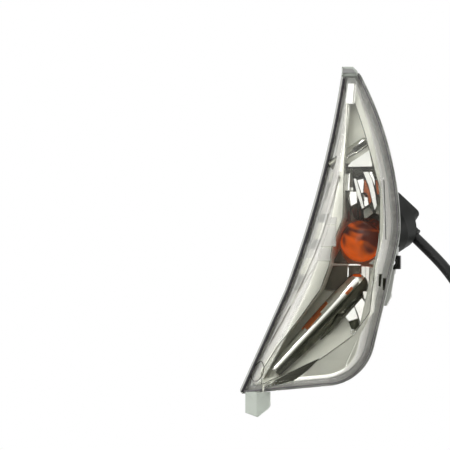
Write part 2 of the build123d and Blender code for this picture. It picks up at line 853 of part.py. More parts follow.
def boot():
    """The rubber boot: a skirt over the collar, a right-angled block and a spout for the lead."""
    start = collar_end + holder_seal_thickness + holder_flange_thickness
    skirt_end = boot_skirt_start + boot_skirt_rise
    front = on_axis(boot_skirt_start) * Circle(collar_radius + boot_skirt_lip)
    skirt = loft([front, on_axis(skirt_end) * Circle(boot_rim_radius)])
    skirt = skirt + disc(boot_rim_radius, skirt_end, start + boot_rim_thickness)
    centre = (boot_block_reach - boot_block_rear) / 2
    outline = Pos(centre, 0) * Rectangle(boot_block_reach + boot_block_rear, 2 * boot_block_half_width)
    outline = fillet(outline.vertices(), boot_block_corner)
    block = extrude(on_axis(start) * outline, amount=boot_block_end - start)
    end_face = block.faces().sort_by(lambda f: (f.center() - ball_centre).dot(axis))[-1]
    block = chamfer(end_face.edges(), boot_block_chamfer)
    spout_end = boot_block_reach + boot_spout_length
    spout = extrude(spout_plane() * Circle(boot_spout_radius), amount=spout_end)
    for index in range(boot_groove_count):
        place = boot_block_reach + boot_groove_start + index * boot_groove_pitch
        groove = extrude(spout_plane().offset(place) * Circle(boot_spout_radius + 1), amount=boot_groove_width)
        floor = Circle(boot_spout_radius - boot_groove_depth)
        spout = spout - (groove - extrude(spout_plane().offset(place) * floor, amount=boot_groove_width))
    body = skirt + block + spout - tray_room()
    body = body - disc(collar_radius + 0.02, boot_skirt_start - 1, collar_end)
    face_start = collar_end - collar_face_thickness
    body = body - disc(collar_face_radius + 0.02, face_start - 0.02, start)
    body = body - disc(holder_rear_radius + 0.05, start - 1, holder_rear_end + fit_gap)
    blind = spout_plane().offset(spout_end - boot_spout_grip) * Circle(sleeve_diameter / 2 + 0.02)
    return largest(body - extrude(blind, amount=2 * boot_spout_grip))


def spout_plane():
    """The plane at the boot's axis that faces along the lead's exit."""
    return Plane(origin=on_axis(boot_spout_place).origin, x_dir=axis, z_dir=lead_direction)


lead_start = spout_plane().offset(boot_block_reach + boot_spout_length - boot_spout_grip).origin

# The lead's route, chosen by hand after its straight exit
lead_exit_run = 17.0
lead_route = [
    (62.2, -8.8, -17.6),
    (72.4, -10.5, -33.0),
    (77.6, -12.0, -52.0),
    (79.6, -12.6, -72.5),
    (79.4, -12.0, -93.5),
    (78.6, -11.0, -113.5),
]


def route_points():
    """The lead's points from the boot to the connector."""
    second = lead_start + lead_direction * lead_exit_run
    return [lead_start, second] + [Vector(*point) for point in lead_route]


def route_radii(points):
    """The largest arc that each corner's two runs allow."""
    radii = []
    for before, corner, after in zip(points, points[1:], points[2:]):
        one = corner - before
        two = after - corner
        turn = math.radians(one.get_angle(two))
        radii.append(0.45 * min(one.length, two.length) / math.tan(turn / 2))
    return radii


def lead_sleeve():
    """The lead as a plain tube of straight runs and arcs."""
    points = route_points()
    radii = route_radii(points)
    print("lead arc radii", [round(r, 1) for r in radii])
    path = FilletPolyline(*points, radius=radii)
    start = Plane(origin=points[0], z_dir=(points[1] - points[0]).normalized())
    tube = sweep(start * Circle(sleeve_diameter / 2), path=path)
    section = math.pi * (sleeve_diameter / 2) ** 2
    print("lead length", round(path.length, 1), "volume ratio", round(tube.volume / (section * path.length), 4))
    return tube


def connector_plane():
    """The connector's top, square to the lead's end, drawn with its width along X."""
    points = route_points()
    line = (points[-1] - points[-2]).normalized()
    return Plane(origin=points[-1], x_dir=Vector(1, 0.25, 0).cross(line).cross(line) * -1, z_dir=line)


def oval(width, thickness):
    """A slot-shaped outline that is width long."""
    return SlotOverall(width, thickness)


def connector_housing():
    """The open connector: an oval shroud, a thick collar, a latch nub and side ribs."""
    top = connector_plane()
    body = extrude(top * oval(connector_width, connector_thickness), amount=connector_body_length)
    collar = extrude(
        top.offset(4.0) * oval(connector_collar_width, connector_collar_thickness), amount=connector_collar_length
    )
    mouth_start = connector_body_length - connector_shroud_depth
    inner = oval(connector_width - 2 * connector_wall, connector_thickness - 2 * connector_wall)
    mouth = extrude(top.offset(mouth_start) * inner, amount=connector_shroud_depth + 1)
    lip = oval(connector_width - connector_wall, connector_thickness - connector_wall)
    step = extrude(top.offset(connector_body_length - 1.6) * lip, amount=3)
    body = body + collar - mouth - step
    nub_centre = connector_thickness / 2 + connector_latch_reach / 2 - 0.5
    nub = Pos(0, nub_centre) * Rectangle(connector_latch_width, connector_latch_reach + 1.0)
    body = body + extrude(top.offset(connector_body_length - 10.0) * nub, amount=connector_latch_length)
    for index in range(connector_rib_count):
        place = (index - (connector_rib_count - 1) / 2) * 5.0
        rib = Pos(place, -connector_thickness / 2 - 0.3) * Rectangle(1.2, 1.6)
        body = body + extrude(top.offset(8.0) * rib, amount=connector_body_length - 12.0)
    for side in (1, -1):
        tower = Pos(side * terminal_spacing / 2, 0) * Rectangle(tower_width, tower_depth)
        body = body + extrude(top.offset(mouth_start - 0.5) * tower, amount=tower_height)
        way = Pos(side * terminal_spacing / 2, 0) * Rectangle(terminal_width + 0.1, terminal_thickness + 0.1)
        body = body - extrude(top.offset(3.0) * way, amount=connector_body_length)
    rear = extrude(top * oval(connector_width - 4.0, connector_thickness - 4.0), amount=3.0)
    return body - rear


def terminals():
    """Two blade terminals in their towers."""
    top = connector_plane()
    mouth_start = connector_body_length - connector_shroud_depth
    blades = Part()
    for side in (1, -1):
        blade = Pos(side * terminal_spacing / 2, 0) * Rectangle(terminal_width, terminal_thickness)
        blades = blades + extrude(top.offset(3.4) * blade, amount=mouth_start + tower_height + 3.0 - 3.4)
    return blades


def connector_rear_cap():
    """The cap that closes the connector's rear and holds the sleeve."""
    top = connector_plane()
    cap = extrude(top * oval(connector_width - 4.1, connector_thickness - 4.1), amount=2.9)
    return cap


def connector_retainer():
    """The terminal lock plate that lies in the shroud between the towers."""
    top = connector_plane()
    mouth_start = connector_body_length - connector_shroud_depth
    plate = Rectangle(terminal_spacing - tower_width - 0.1, tower_depth)
    return extrude(top.offset(mouth_start) * plate, amount=tower_height - 1.5)


def vent_cap():
    """The soft breather cap low on the housing's back."""
    body = slab(Pos(vent_x, vent_z) * Circle(vent_radius), housing_back_y + vent_height, housing_back_y)
    return fillet(body.edges().sort_by(Axis.Y)[-1:], 1.2)


def write_part(name, shape):
    """Name a piece and write its STEP file."""
    shape.label = name
    export_step(shape, "parts/" + name + ".step")


os.makedirs("parts", exist_ok=True)
pieces = {
    "lens": lens,
    "housing": housing,
    "reflector": reflector,
    "sealant_bead": sealant_bead,
    "seal_strip": seal_strip,
    "clip_nut": clip_nut,
    "bulb_glass": bulb_glass,
    "bulb_cap": bulb_cap,
    "bulb_contact": bulb_contact,
    "bulb_filament": bulb_filament,
    "bulb_holder": bulb_holder,
    "bayonet_shell": bayonet_shell,
    "contact_plunger": contact_plunger,
    "holder_seal": holder_seal,
    "boot": boot,
    "lead_sleeve": lead_sleeve,
    "connector_housing": connector_housing,
    "connector_rear_cap": connector_rear_cap,
    "connector_retainer": connector_retainer,
    "terminals": terminals,
    "vent_cap": vent_cap,
    "contact_spring": contact_spring,
    "reflector_screws": reflector_screws,
}
for name, make in pieces.items():
    write_part(name, make())
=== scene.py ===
import math

import bmesh
import bpy
import numpy as np
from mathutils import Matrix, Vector


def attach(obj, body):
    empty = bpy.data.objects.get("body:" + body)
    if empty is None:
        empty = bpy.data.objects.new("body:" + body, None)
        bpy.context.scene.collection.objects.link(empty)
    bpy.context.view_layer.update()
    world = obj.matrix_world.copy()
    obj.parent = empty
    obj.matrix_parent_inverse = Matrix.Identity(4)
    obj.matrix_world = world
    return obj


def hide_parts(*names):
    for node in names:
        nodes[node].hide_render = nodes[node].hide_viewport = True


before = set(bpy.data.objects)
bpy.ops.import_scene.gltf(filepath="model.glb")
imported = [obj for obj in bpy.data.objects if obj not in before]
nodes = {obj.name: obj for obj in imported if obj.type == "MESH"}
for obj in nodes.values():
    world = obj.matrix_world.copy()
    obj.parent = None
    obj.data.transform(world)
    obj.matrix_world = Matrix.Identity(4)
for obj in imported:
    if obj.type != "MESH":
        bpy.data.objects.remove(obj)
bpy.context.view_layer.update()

# Sizes are in millimetres in the numbers below, and become metres when a mesh is made
MM = 0.001

# Depths, the same as the solids'
FLANGE_Y = -34.0
FOOT_Y = -31.5
LENS_FLANGE = 1.8
LENS_FRONT_Y = -62.0

# The rim's outline
RIM_TOP_Z = 100.8
RIM_RIGHT_X = 34.8
RIM_RIGHT_Z = 4.0
RIM_RIGHT_R = 205.0
RIM_LOW_RIGHT = np.array([14.0, -83.5])
RIM_LOW_LEFT = np.array([-62.4, -91.2])
RIM_LEFT_LOW = np.array([-34.2, -28.8])
RIM_LEFT_MID = np.array([-13.6, 35.5])
RIM_TOP_LEFT = np.array([0.0, 100.8])
CORNER_R = 30.0
SHOULDER_R = 60.0

# The lens
LENS_LIP = 1.6
LENS_LEFT_LIP = 2.4
LENS_WALL = 2.5
DRAFT_ANGLE = math.radians(9.0)
DRAFT = math.tan(DRAFT_ANGLE)
LEFT_SLOPE = 0.45
SLOPE_EASE = 0.003
SLOPE_EASE_FROM_Z = 15.0
DOME_R = 320.0
DOME_X = -8.0
DOME_Z = -10.0
SKIRT_WALL = LENS_WALL / math.cos(DRAFT_ANGLE)
LEFT_WALL = LENS_WALL * math.sqrt(1 + LEFT_SLOPE**2)
CAVITY_TOP_DROP = 3.0

# The bulb's middle and its axis, and the way in which the lead leaves the boot, square to that axis
BALL = np.array([11.0, -27.0, 0.6])
AXIS = np.array([0.533, 0.76, 0.372])
AXIS = AXIS / np.linalg.norm(AXIS)
LEAD = np.array([0.722, -0.177, -0.67])
LEAD = LEAD - AXIS * LEAD.dot(AXIS)
LEAD = LEAD / np.linalg.norm(LEAD)

# The photograph's view: 0.6 mm for each of its pixels, seen 5 degrees from the lamp's right
VIEW_TURN = math.radians(5.0)
VIEW_DISTANCE = 1300.0
VIEW_HEIGHT = 10.2
FRAME_WIDTH = 270.0
SENSOR = 36.0
PIXELS = 450
AIM = np.array([-70.2, FLANGE_Y, VIEW_HEIGHT])
EYE = np.array(
    [VIEW_DISTANCE * math.sin(VIEW_TURN), FLANGE_Y - VIEW_DISTANCE * math.cos(VIEW_TURN), VIEW_HEIGHT]
)
AIM_DISTANCE = np.linalg.norm(AIM - EYE)
AHEAD = (AIM - EYE) / AIM_DISTANCE
TO_RIGHT = np.array([AHEAD[1], -AHEAD[0], 0.0])
FOCAL = PIXELS * AIM_DISTANCE / FRAME_WIDTH
# The nearest that the camera sees, in metres
CLIP_START = 0.05
# Points closer than the first are sewn together, and edges shorter than the second are taken out
SEW = 0.01
LEAST_EDGE = 0.0001
# The least length that a step is divided by
LEAST_STEP = 1e-6


def facing(place, target):
    """The turn that points a camera or a lamp from its place at a target."""
    return (Vector(target) - Vector(place)).to_track_quat("-Z", "Y").to_euler()


def linked(name, data):
    """A new object in the scene, made from its data."""
    made = bpy.data.objects.new(name, data)
    bpy.context.scene.collection.objects.link(made)
    return made


def make_camera():
    """The scene's camera, at the photograph's view."""
    data = bpy.data.cameras.new("camera")
    data.lens = SENSOR * AIM_DISTANCE / FRAME_WIDTH
    data.sensor_width = SENSOR
    data.clip_start = CLIP_START
    camera = linked("camera", data)
    camera.location = Vector(EYE * MM)
    camera.rotation_euler = facing(EYE * MM, AIM * MM)
    bpy.context.scene.camera = camera


make_camera()


def at_pixel(px, py, y):
    """The place in millimetres at depth y that lies under a pixel of the photograph's frame."""
    k = (np.asarray(px, float) - PIXELS / 2) / FOCAL
    reach_y = np.asarray(y, float) - EYE[1] + 0 * k
    reach_x = reach_y * (k * AHEAD[1] - TO_RIGHT[1]) / (TO_RIGHT[0] - k * AHEAD[0])
    ahead = reach_x * AHEAD[0] + reach_y * AHEAD[1]
    z = EYE[2] - (np.asarray(py, float) - PIXELS / 2) / FOCAL * ahead
    return np.stack([reach_x + EYE[0], reach_y + EYE[1], z], -1)


def mesh_piece(name, points, faces):
    """A new piece from points in millimetres and faces as lists of indices."""
    mesh = bpy.data.meshes.new(name)
    mesh.from_pydata((np.asarray(points, float) * MM).tolist(), [], faces)
    mesh.update()
    return linked(name, mesh)


def grid_faces(rows, columns, start=0, wrap=False, flip=False):
    """Quads over a grid of rows by columns; wrap joins the last column to the first."""
    i, j = np.meshgrid(np.arange(rows - 1), np.arange(columns if wrap else columns - 1), indexing="ij")
    k = (j + 1) % columns
    quads = np.stack([i * columns + j, i * columns + k, (i + 1) * columns + k, (i + 1) * columns + j], -1)
    quads = quads.reshape(-1, 4) + start
    return quads[:, ::-1] if flip else quads


class Builder:
    """Gathers patches of points and faces, which become one piece."""

    def __init__(self):
        self.points = []
        self.faces = []
        self.slots = []
        self.slot = 0
        self.count = 0

    def add_faces(self, faces):
        """Keep a block of faces, which take the material slot that is set at the time."""
        self.faces.append(faces)
        self.slots.append(np.full(len(faces), self.slot))

    def grid(self, points, wrap=False, flip=False):
        """Add a grid of points, shaped rows by columns by three."""
        rows, columns = points.shape[:2]
        self.add_faces(grid_faces(rows, columns, self.count, wrap, flip))
        self.points.append(points.reshape(-1, 3))
        self.count += rows * columns

    def slab(self, front, back):
        """A closed plate between a front and a back grid of the same shape."""
        self.grid(front)
        self.grid(back, flip=True)
        self.grid(np.stack([back[0], front[0]]))
        self.grid(np.stack([front[-1], back[-1]]))
        self.grid(np.stack([front[:, 0], back[:, 0]]))
        self.grid(np.stack([back[:, -1], front[:, -1]]))

    def fan(self, loop, centre, flip=False):
        """Close a loop of points with triangles to a centre."""
        count = len(loop)
        index = np.arange(count)
        tri = np.stack([index, (index + 1) % count, np.full(count, count)], -1) + self.count
        self.add_faces(tri[:, ::-1] if flip else tri)
        self.points.append(np.vstack([loop, centre]))
        self.count += count + 1

    def piece(self, name, smooth=True):
        """The finished piece: patches sewn where their edges meet, and faces turned outward."""
        faces = [f for block in self.faces for f in block.tolist()]
        made = mesh_piece(name, np.vstack(self.points), faces)
        made.data.polygons.foreach_set("material_index", np.concatenate(self.slots))
        work = bmesh.new()
        work.from_mesh(made.data)
        bmesh.ops.remove_doubles(work, verts=work.verts, dist=SEW * MM)
        bmesh.ops.dissolve_degenerate(work, edges=work.edges, dist=LEAST_EDGE * MM)
        bmesh.ops.recalc_face_normals(work, faces=work.faces)
        work.to_mesh(made.data)
        work.free()
        made.data.polygons.foreach_set("use_smooth", np.full(len(made.data.polygons), smooth))
        return made


def finished(piece, *finishes):
    """The piece with its finishes, one for each of its material slots."""
    for finish in finishes:
        piece.data.materials.append(finish)
    return piece


def arc_through(a, b, c, count):
    """Points on the circle through a, b and c, from a to c."""
    ax, ay = a
    bx, by = b
    cx, cy = c
    d = 2 * (ax * (by - cy) + bx * (cy - ay) + cx * (ay - by))
    ux = ((ax**2 + ay**2) * (by - cy) + (bx**2 + by**2) * (cy - ay) + (cx**2 + cy**2) * (ay - by)) / d
    uy = ((ax**2 + ay**2) * (cx - bx) + (bx**2 + by**2) * (ax - cx) + (cx**2 + cy**2) * (bx - ax)) / d
    centre = np.array([ux, uy])
    radius = np.hypot(ax - ux, ay - uy)
    start = math.atan2(ay - uy, ax - ux)
    end = math.atan2(cy - uy, cx - ux)
    turn = (end - start + math.pi) % (2 * math.pi) - math.pi
    angle = start + turn * np.linspace(0, 1, count)
    return centre + radius * np.stack([np.cos(angle), np.sin(angle)], -1)


def rounded_corner(a, b, c, radius, count):
    """The arc that rounds the corner b between a and c."""
    one = (a - b) / np.linalg.norm(a - b)
    two = (c - b) / np.linalg.norm(c - b)
    half = math.acos(np.clip(one.dot(two), -1, 1)) / 2
    reach = radius / math.tan(half)
    middle = b + (one + two) / np.linalg.norm(one + two) * (radius / math.sin(half) - radius)
    return arc_through(b + one * reach, middle, b + two * reach, count)


def resample(line, count):
    """Points evenly spaced by length along a dense line."""
    step = np.linalg.norm(np.diff(line, axis=0), axis=1)
    reach = np.concatenate([[0], np.cumsum(step)])
    want = reach[-1] * np.linspace(0, 1, count)
    return np.stack([np.interp(want, reach, line[:, k]) for k in range(line.shape[1])], -1)


# How finely the rim's outline is drawn, and how far its lines run on past their ends
ARC_POINTS = 260
SHOULDER_POINTS = 30
CORNER_POINTS = 90
LINE_POINTS = 1600
LEFT_POINTS = 200
ARC_ABOVE_TOP = 6.0
ARC_ABOVE_SHOULDER = 8.0
LEFT_PAST_ENDS = 12.0
FOOT_PAST_SHARE = 0.15


def right_and_foot():
    """The rim's outline from the top right, down the right side and along the foot to the left."""
    rise = np.linspace(RIM_TOP_Z + ARC_ABOVE_TOP, RIM_RIGHT_Z + ARC_ABOVE_SHOULDER, ARC_POINTS)
    reach = np.sqrt(RIM_RIGHT_R**2 - (rise - RIM_RIGHT_Z) ** 2)
    arc = np.stack([RIM_RIGHT_X - RIM_RIGHT_R + reach, rise], -1)
    shoulder_point = np.array([RIM_RIGHT_X, RIM_RIGHT_Z])
    shoulder = rounded_corner(arc[-1], shoulder_point, RIM_LOW_RIGHT, SHOULDER_R, SHOULDER_POINTS)
    corner = rounded_corner(shoulder_point, RIM_LOW_RIGHT, RIM_LOW_LEFT, CORNER_R, CORNER_POINTS)
    beyond = RIM_LOW_LEFT + (RIM_LOW_LEFT - RIM_LOW_RIGHT) * FOOT_PAST_SHARE
    return resample(np.vstack([arc, shoulder, corner, [beyond]]), LINE_POINTS)


RIGHT_LINE = right_and_foot()
tangent = np.gradient(RIGHT_LINE, axis=0)
tangent = tangent / np.linalg.norm(tangent, axis=1)[:, None]
RIGHT_NORMAL = np.stack([tangent[:, 1], -tangent[:, 0]], -1)
RIGHT_TURN = np.unwrap(np.arctan2(tangent[:, 1], tangent[:, 0]))


def left_x(z):
    """The rim's left side at height z: an arc above, a straight line below."""
    arc = arc_through(RIM_LEFT_LOW, RIM_LEFT_MID, RIM_TOP_LEFT, LEFT_POINTS)
    below = RIM_LEFT_LOW - RIM_LOW_LEFT
    above = arc[-1] - arc[-2]
    foot = [RIM_LOW_LEFT[0] - LEFT_PAST_ENDS * (below[0] / below[1]), RIM_LOW_LEFT[1] - LEFT_PAST_ENDS]
    head = [arc[-1, 0] + above[0] / above[1] * LEFT_PAST_ENDS, RIM_TOP_Z + LEFT_PAST_ENDS]
    line = np.vstack([[foot], arc, [head]])
    return np.interp(z, line[:, 1], line[:, 0])


# The loop's points along each of its four sides, the same on every loop
LEFT_COUNT = 150
TOP_COUNT = 90
RIGHT_COUNT = LEFT_COUNT
FOOT_COUNT = TOP_COUNT


def left_slope(z):
    """How far the left face leans right for each millimetre forwards: less towards the top."""
    return LEFT_SLOPE - SLOPE_EASE * np.maximum(z - SLOPE_EASE_FROM_Z, 0.0)


def loop_at(inset, left_shift, top_drop=0.0, height=0.0):
    """The rim's loop drawn in by inset and moved right on its left side, height above its base.

    Its four sides run up the left, along the top, down the right and back along the foot."""
    line = RIGHT_LINE + RIGHT_NORMAL * inset
    top_z = RIM_TOP_Z - inset - top_drop
    first = np.argmax(line[:, 1] <= top_z)
    half = len(line) // 2
    lean = left_shift + height * left_slope(line[half:, 1])
    last = half + np.argmax(line[half:, 0] <= left_x(line[half:, 1]) + lean)
    line = line[first:last]
    turn = RIGHT_TURN[first:last]
    corner_turn = (RIGHT_TURN[-1] + RIGHT_TURN[len(RIGHT_TURN) // 2]) / 2
    split = np.argmin(np.abs(turn - corner_turn))
    right = resample(line[: split + 1], RIGHT_COUNT)
    foot = resample(line[split:], FOOT_COUNT)
    foot_z = foot[-1, 1]
    left_z = np.linspace(foot_z, top_z, LEFT_COUNT)
    left = np.stack([left_x(left_z) + left_shift + height * left_slope(left_z), left_z], -1)
    left[0] = foot[-1]
    top = np.stack([np.linspace(left[-1, 0], right[0, 0], TOP_COUNT), np.full(TOP_COUNT, top_z)], -1)
    right[0] = top[-1]
    return left, top, right, foot


def dome_y(x, z, drop):
    """The depth of the lens's round front, moved back by drop."""
    radius = DOME_R - drop
    return LENS_FRONT_Y + DOME_R - np.sqrt(radius**2 - (x - DOME_X) ** 2 - (z - DOME_Z) ** 2)


# The heights over the flange at which the lens's side wall is worked out
LEVELS = np.linspace(0.0, 36.0, 37)
LEVEL_STEP = LEVELS[1] - LEVELS[0]
WALL_ROWS = 16
# The crease's softening in front of the lens and inside it, which fades out towards the top
OUTER_SOFTEN = 1.3
INNER_SOFTEN = 0.9
SOFTEN_ROWS = 7
SOFTEN_FADE = 14.0
SOFTEN_LEAST = 0.2
# The rounded edge of the flange
FLANGE_ROUND = 0.5
FLANGE_EASE = 0.3


def inward(loop):
    """Unit steps into a closed loop of X and Z that runs clockwise."""
    along = np.roll(loop, -1, axis=0) - np.roll(loop, 1, axis=0)
    along = along / np.maximum(np.linalg.norm(along, axis=1), LEAST_STEP)[:, None]
    return np.stack([along[:, 1], -along[:, 0]], -1)


def shell_form(inset, left_shift, drop, soften, top_drop=0.0, start=0.0):
    """The lens's form drawn in by inset: its side wall, up to a softened crease on the dome.

    At height h over the flange the loop is drawn in by h times the draft, and its left side is
    moved right by h times the left slope, up to where it meets the dome. The crease is a
    quadratic curve from a point on the wall, soften below it, to one on the dome, soften inside."""
    loops = np.array([np.vstack(loop_at(inset + h * DRAFT, left_shift, top_drop, h)) for h in LEVELS])
    gap = (FLANGE_Y - LEVELS)[:, None] - dome_y(loops[..., 0], loops[..., 1], drop)
    below = np.argmax(gap <= 0, axis=0)
    column = np.arange(loops.shape[1])
    one = gap[below - 1, column]
    two = gap[below, column]
    height = LEVELS[below - 1] + one / (one - two) * LEVEL_STEP

    def on_wall(level):
        place = level / LEVEL_STEP
        low = np.clip(np.floor(place).astype(int), 0, len(LEVELS) - 2)
        part = (place - low)[..., None]
        flat = loops[low, column] * (1 - part) + loops[low + 1, column] * part
        return np.stack([flat[..., 0], FLANGE_Y - level, flat[..., 1]], -1)

    crease = on_wall(height)
    flat = crease[:, [0, 2]]
    room = np.clip((flat[:, 1].max() - flat[:, 1]) / SOFTEN_FADE, SOFTEN_LEAST, 1.0)
    reach = soften * room
    below_crease = height - reach
    wall = on_wall(start + np.linspace(0, 1, WALL_ROWS)[:, None] * (below_crease - start)[None, :])
    within = flat + inward(flat) * reach[:, None]
    edge = np.stack([within[:, 0], dome_y(within[:, 0], within[:, 1], drop), within[:, 1]], -1)
    t = np.linspace(0, 1, SOFTEN_ROWS)[1:, None, None]
    curve = (1 - t) ** 2 * wall[-1] + 2 * t * (1 - t) * crease + t**2 * edge
    return np.concatenate([wall, curve])


def front_patch(edge, drop):
    """A blend between the front's four edges, set on the dome."""
    left = edge[:LEFT_COUNT]
    top = edge[LEFT_COUNT : LEFT_COUNT + TOP_COUNT]
    right = edge[LEFT_COUNT + TOP_COUNT : LEFT_COUNT + TOP_COUNT + RIGHT_COUNT][::-1]
    foot = edge[LEFT_COUNT + TOP_COUNT + RIGHT_COUNT :][::-1]
    s = np.linspace(0, 1, FOOT_COUNT)[None, :, None]
    r = np.linspace(0, 1, LEFT_COUNT)[:, None, None]
    across = (1 - s) * left[:, None] + s * right[:, None]
    along = (1 - r) * foot[None] + r * top[None]
    corner = (1 - s) * (1 - r) * left[0] + s * (1 - r) * right[0]
    corner = corner + (1 - s) * r * left[-1] + s * r * right[-1]
    patch = across + along - corner
    patch[..., 1] = dome_y(patch[..., 0], patch[..., 2], drop)
    return patch


def as_points(loop, y):
    """A flat loop of X and Z put at depth y."""
    return np.stack([loop[:, 0], np.full(len(loop), y), loop[:, 1]], -1)


def make_lens():
    """The clear lens: an outer and an inner form, a flange and a foot, sewn into one closed wall."""
    outer = shell_form(LENS_LIP, LENS_LEFT_LIP, 0.0, OUTER_SOFTEN, start=LENS_FLANGE)
    inner_inset = LENS_LIP + SKIRT_WALL
    inner_shift = LENS_LEFT_LIP + LEFT_WALL
    inner = shell_form(inner_inset, inner_shift, LENS_WALL, INNER_SOFTEN, CAVITY_TOP_DROP)
    build = Builder()
    build.grid(front_patch(outer[-1], 0.0))
    build.grid(front_patch(inner[-1], LENS_WALL), flip=True)
    build.slot = 1
    build.grid(outer, wrap=True)
    build.grid(inner, wrap=True, flip=True)
    base = np.vstack(loop_at(LENS_LIP, LENS_LEFT_LIP))
    inside = np.vstack(loop_at(inner_inset, inner_shift, CAVITY_TOP_DROP))
    face_y = FLANGE_Y - LENS_FLANGE
    rows = [outer[0]]
    for inset, y in (
        (FLANGE_ROUND, face_y),
        (FLANGE_ROUND * FLANGE_EASE, face_y + FLANGE_ROUND * FLANGE_EASE),
        (0.0, face_y + FLANGE_ROUND),
        (0.0, FLANGE_Y),
    ):
        row = as_points(np.vstack(loop_at(inset, LENS_LEFT_LIP)), y)
        row[:LEFT_COUNT] = as_points(base, y)[:LEFT_COUNT]
        if y == face_y:
            row[:LEFT_COUNT] = outer[0, :LEFT_COUNT]
        rows.append(row)
    rows = rows + [as_points(base, FLANGE_Y), as_points(base, FOOT_Y)]
    rows = rows + [as_points(inside, FOOT_Y), as_points(inside, FLANGE_Y)]
    build.grid(np.stack(rows), wrap=True, flip=True)
    return build.piece("lens_shell")


# The softened blocks: the frosted tab on the lens's top and the tongue under its foot
BLOCK_POINTS = 120
BLOCK_RINGS = 10
BLOCK_ROWS = 5
BLOCK_SOFTEN = 0.5
TAB_LEFT_X = 0.6
TAB_RIGHT_X = 9.6
TAB_TOP_Z = RIM_TOP_Z + 3.2
TAB_ROOT_Z = RIM_TOP_Z - 2.5
TAB_FRONT_Y = -41.0
TAB_CORNER = 2.5
TONGUE_LEFT_X = -57.6
TONGUE_RIGHT_X = -42.6
TONGUE_FOLD_X = -50.2
TONGUE_TIP_X = -49.6
TONGUE_CORNER_X = -44.1
TONGUE_ROOT_Z = -89.6
TONGUE_TIP_Z = -104.4
TONGUE_LEFT_Z = -102.0
TONGUE_RIGHT_Z = -97.9
TONGUE_CORNER_Z = -99.9
TONGUE_FRONT_Y = -37.0
TONGUE_FOLD_Y = -40.5


def signed_area(loop):
    """Twice the area inside a loop of X and Z, positive when it runs anticlockwise."""
    x, z = loop[:, 0], loop[:, 1]
    return np.sum(x * np.roll(z, -1) - np.roll(x, -1) * z)


def rounded_block(name, outline, front):
    """A closed block before the flange's plane, from an outline of X and Z.

    Its depth in front is a function of X. The edges are softened by rows that step in by one
    less the cosine, and forwards by the sine, of a quarter turn, times the softening."""
    loop = resample(np.vstack([outline, outline[:1]]), BLOCK_POINTS + 1)[:-1]
    if signed_area(loop) > 0:
        loop = loop[::-1]
    into = inward(loop)
    layers = []
    turn = np.linspace(0, math.pi / 2, BLOCK_ROWS)
    for angle in turn[::-1]:
        flat = loop + into * BLOCK_SOFTEN * (1 - math.cos(angle))
        layers.append(as_points(flat, FLANGE_Y - BLOCK_SOFTEN * (1 - math.sin(angle))))
    for angle in turn:
        flat = loop + into * BLOCK_SOFTEN * (1 - math.cos(angle))
        layers.append(as_points(flat, front(flat[:, 0]) + BLOCK_SOFTEN * (1 - math.sin(angle))))
    edge = layers[-1]
    middle = edge.mean(axis=0)
    for share in np.linspace(1, 0, BLOCK_RINGS)[1:-1]:
        ring = middle + (edge - middle) * share
        ring[:, 1] = front(ring[:, 0])
        layers.append(ring)
    build = Builder()
    build.grid(np.stack(layers), wrap=True)
    middle[1] = front(middle[0])
    build.fan(layers[-1], middle)
    build.fan(layers[0], layers[0].mean(axis=0), flip=True)
    return build.piece(name)


def make_top_tab():
    """The frosted locating tab on the lens's top, with one corner cut."""
    outline = [
        (TAB_LEFT_X, TAB_ROOT_Z),
        (TAB_LEFT_X, TAB_TOP_Z),
        (TAB_RIGHT_X - TAB_CORNER, TAB_TOP_Z),
        (TAB_RIGHT_X, TAB_TOP_Z - TAB_CORNER),
        (TAB_RIGHT_X, TAB_ROOT_Z),
    ]
    return rounded_block("top_tab", np.array(outline), lambda x: TAB_FRONT_Y + 0 * x)


def make_tongue():
    """The frosted tongue under the foot: two leaves that meet at an upright fold."""
    outline = [
        (TONGUE_LEFT_X, TONGUE_ROOT_Z),
        (TONGUE_RIGHT_X, TONGUE_ROOT_Z),
        (TONGUE_RIGHT_X, TONGUE_RIGHT_Z),
        (TONGUE_CORNER_X, TONGUE_CORNER_Z),
        (TONGUE_TIP_X, TONGUE_TIP_Z),
        (TONGUE_LEFT_X, TONGUE_LEFT_Z),
    ]
    across = [TONGUE_LEFT_X, TONGUE_FOLD_X, TONGUE_RIGHT_X]
    depths = [TONGUE_FRONT_Y, TONGUE_FOLD_Y, TONGUE_FRONT_Y]
    return rounded_block("foot_tongue", np.array(outline), lambda x: np.interp(x, across, depths))


# The foam strip: its sides from the rim's left edge, its height over the flange and its softening
STRIP_LEFT = 1.3
STRIP_RIGHT = LENS_LEFT_LIP - 0.15
STRIP_HEIGHT = 2.0
STRIP_SOFTEN = 0.35
STRIP_EASE = 0.3 * STRIP_SOFTEN
STRIP_TOP_MARGIN = 3.6
STRIP_FOOT_MARGIN = 1.5
STRIP_ROWS = 200


def make_strip():
    """The foam strip beside the lens's left edge, with its two front edges softened.

    Its left side stands straight up, and its right side leans with the lens's left face."""
    z = np.linspace(RIM_LOW_LEFT[1] + STRIP_FOOT_MARGIN, RIM_TOP_Z - STRIP_TOP_MARGIN, STRIP_ROWS)
    profile = [
        (0.0, 0.0),
        (0.0, STRIP_HEIGHT - STRIP_SOFTEN),
        (STRIP_EASE, STRIP_HEIGHT - STRIP_EASE),
        (STRIP_SOFTEN, STRIP_HEIGHT),
    ]
    columns = []
    for into, height in profile:
        columns.append(np.stack([left_x(z) + STRIP_LEFT + into, FLANGE_Y - height + 0 * z, z], -1))
    for into, height in profile[::-1]:
        x = left_x(z) + STRIP_RIGHT - into + height * left_slope(z)
        columns.append(np.stack([x, FLANGE_Y - height + 0 * z, z], -1))
    rows = np.stack(columns, 1)
    build = Builder()
    build.grid(rows, wrap=True)
    build.fan(rows[0], rows[0].mean(axis=0), flip=True)
    build.fan(rows[-1], rows[-1].mean(axis=0))
    return build.piece("strip")


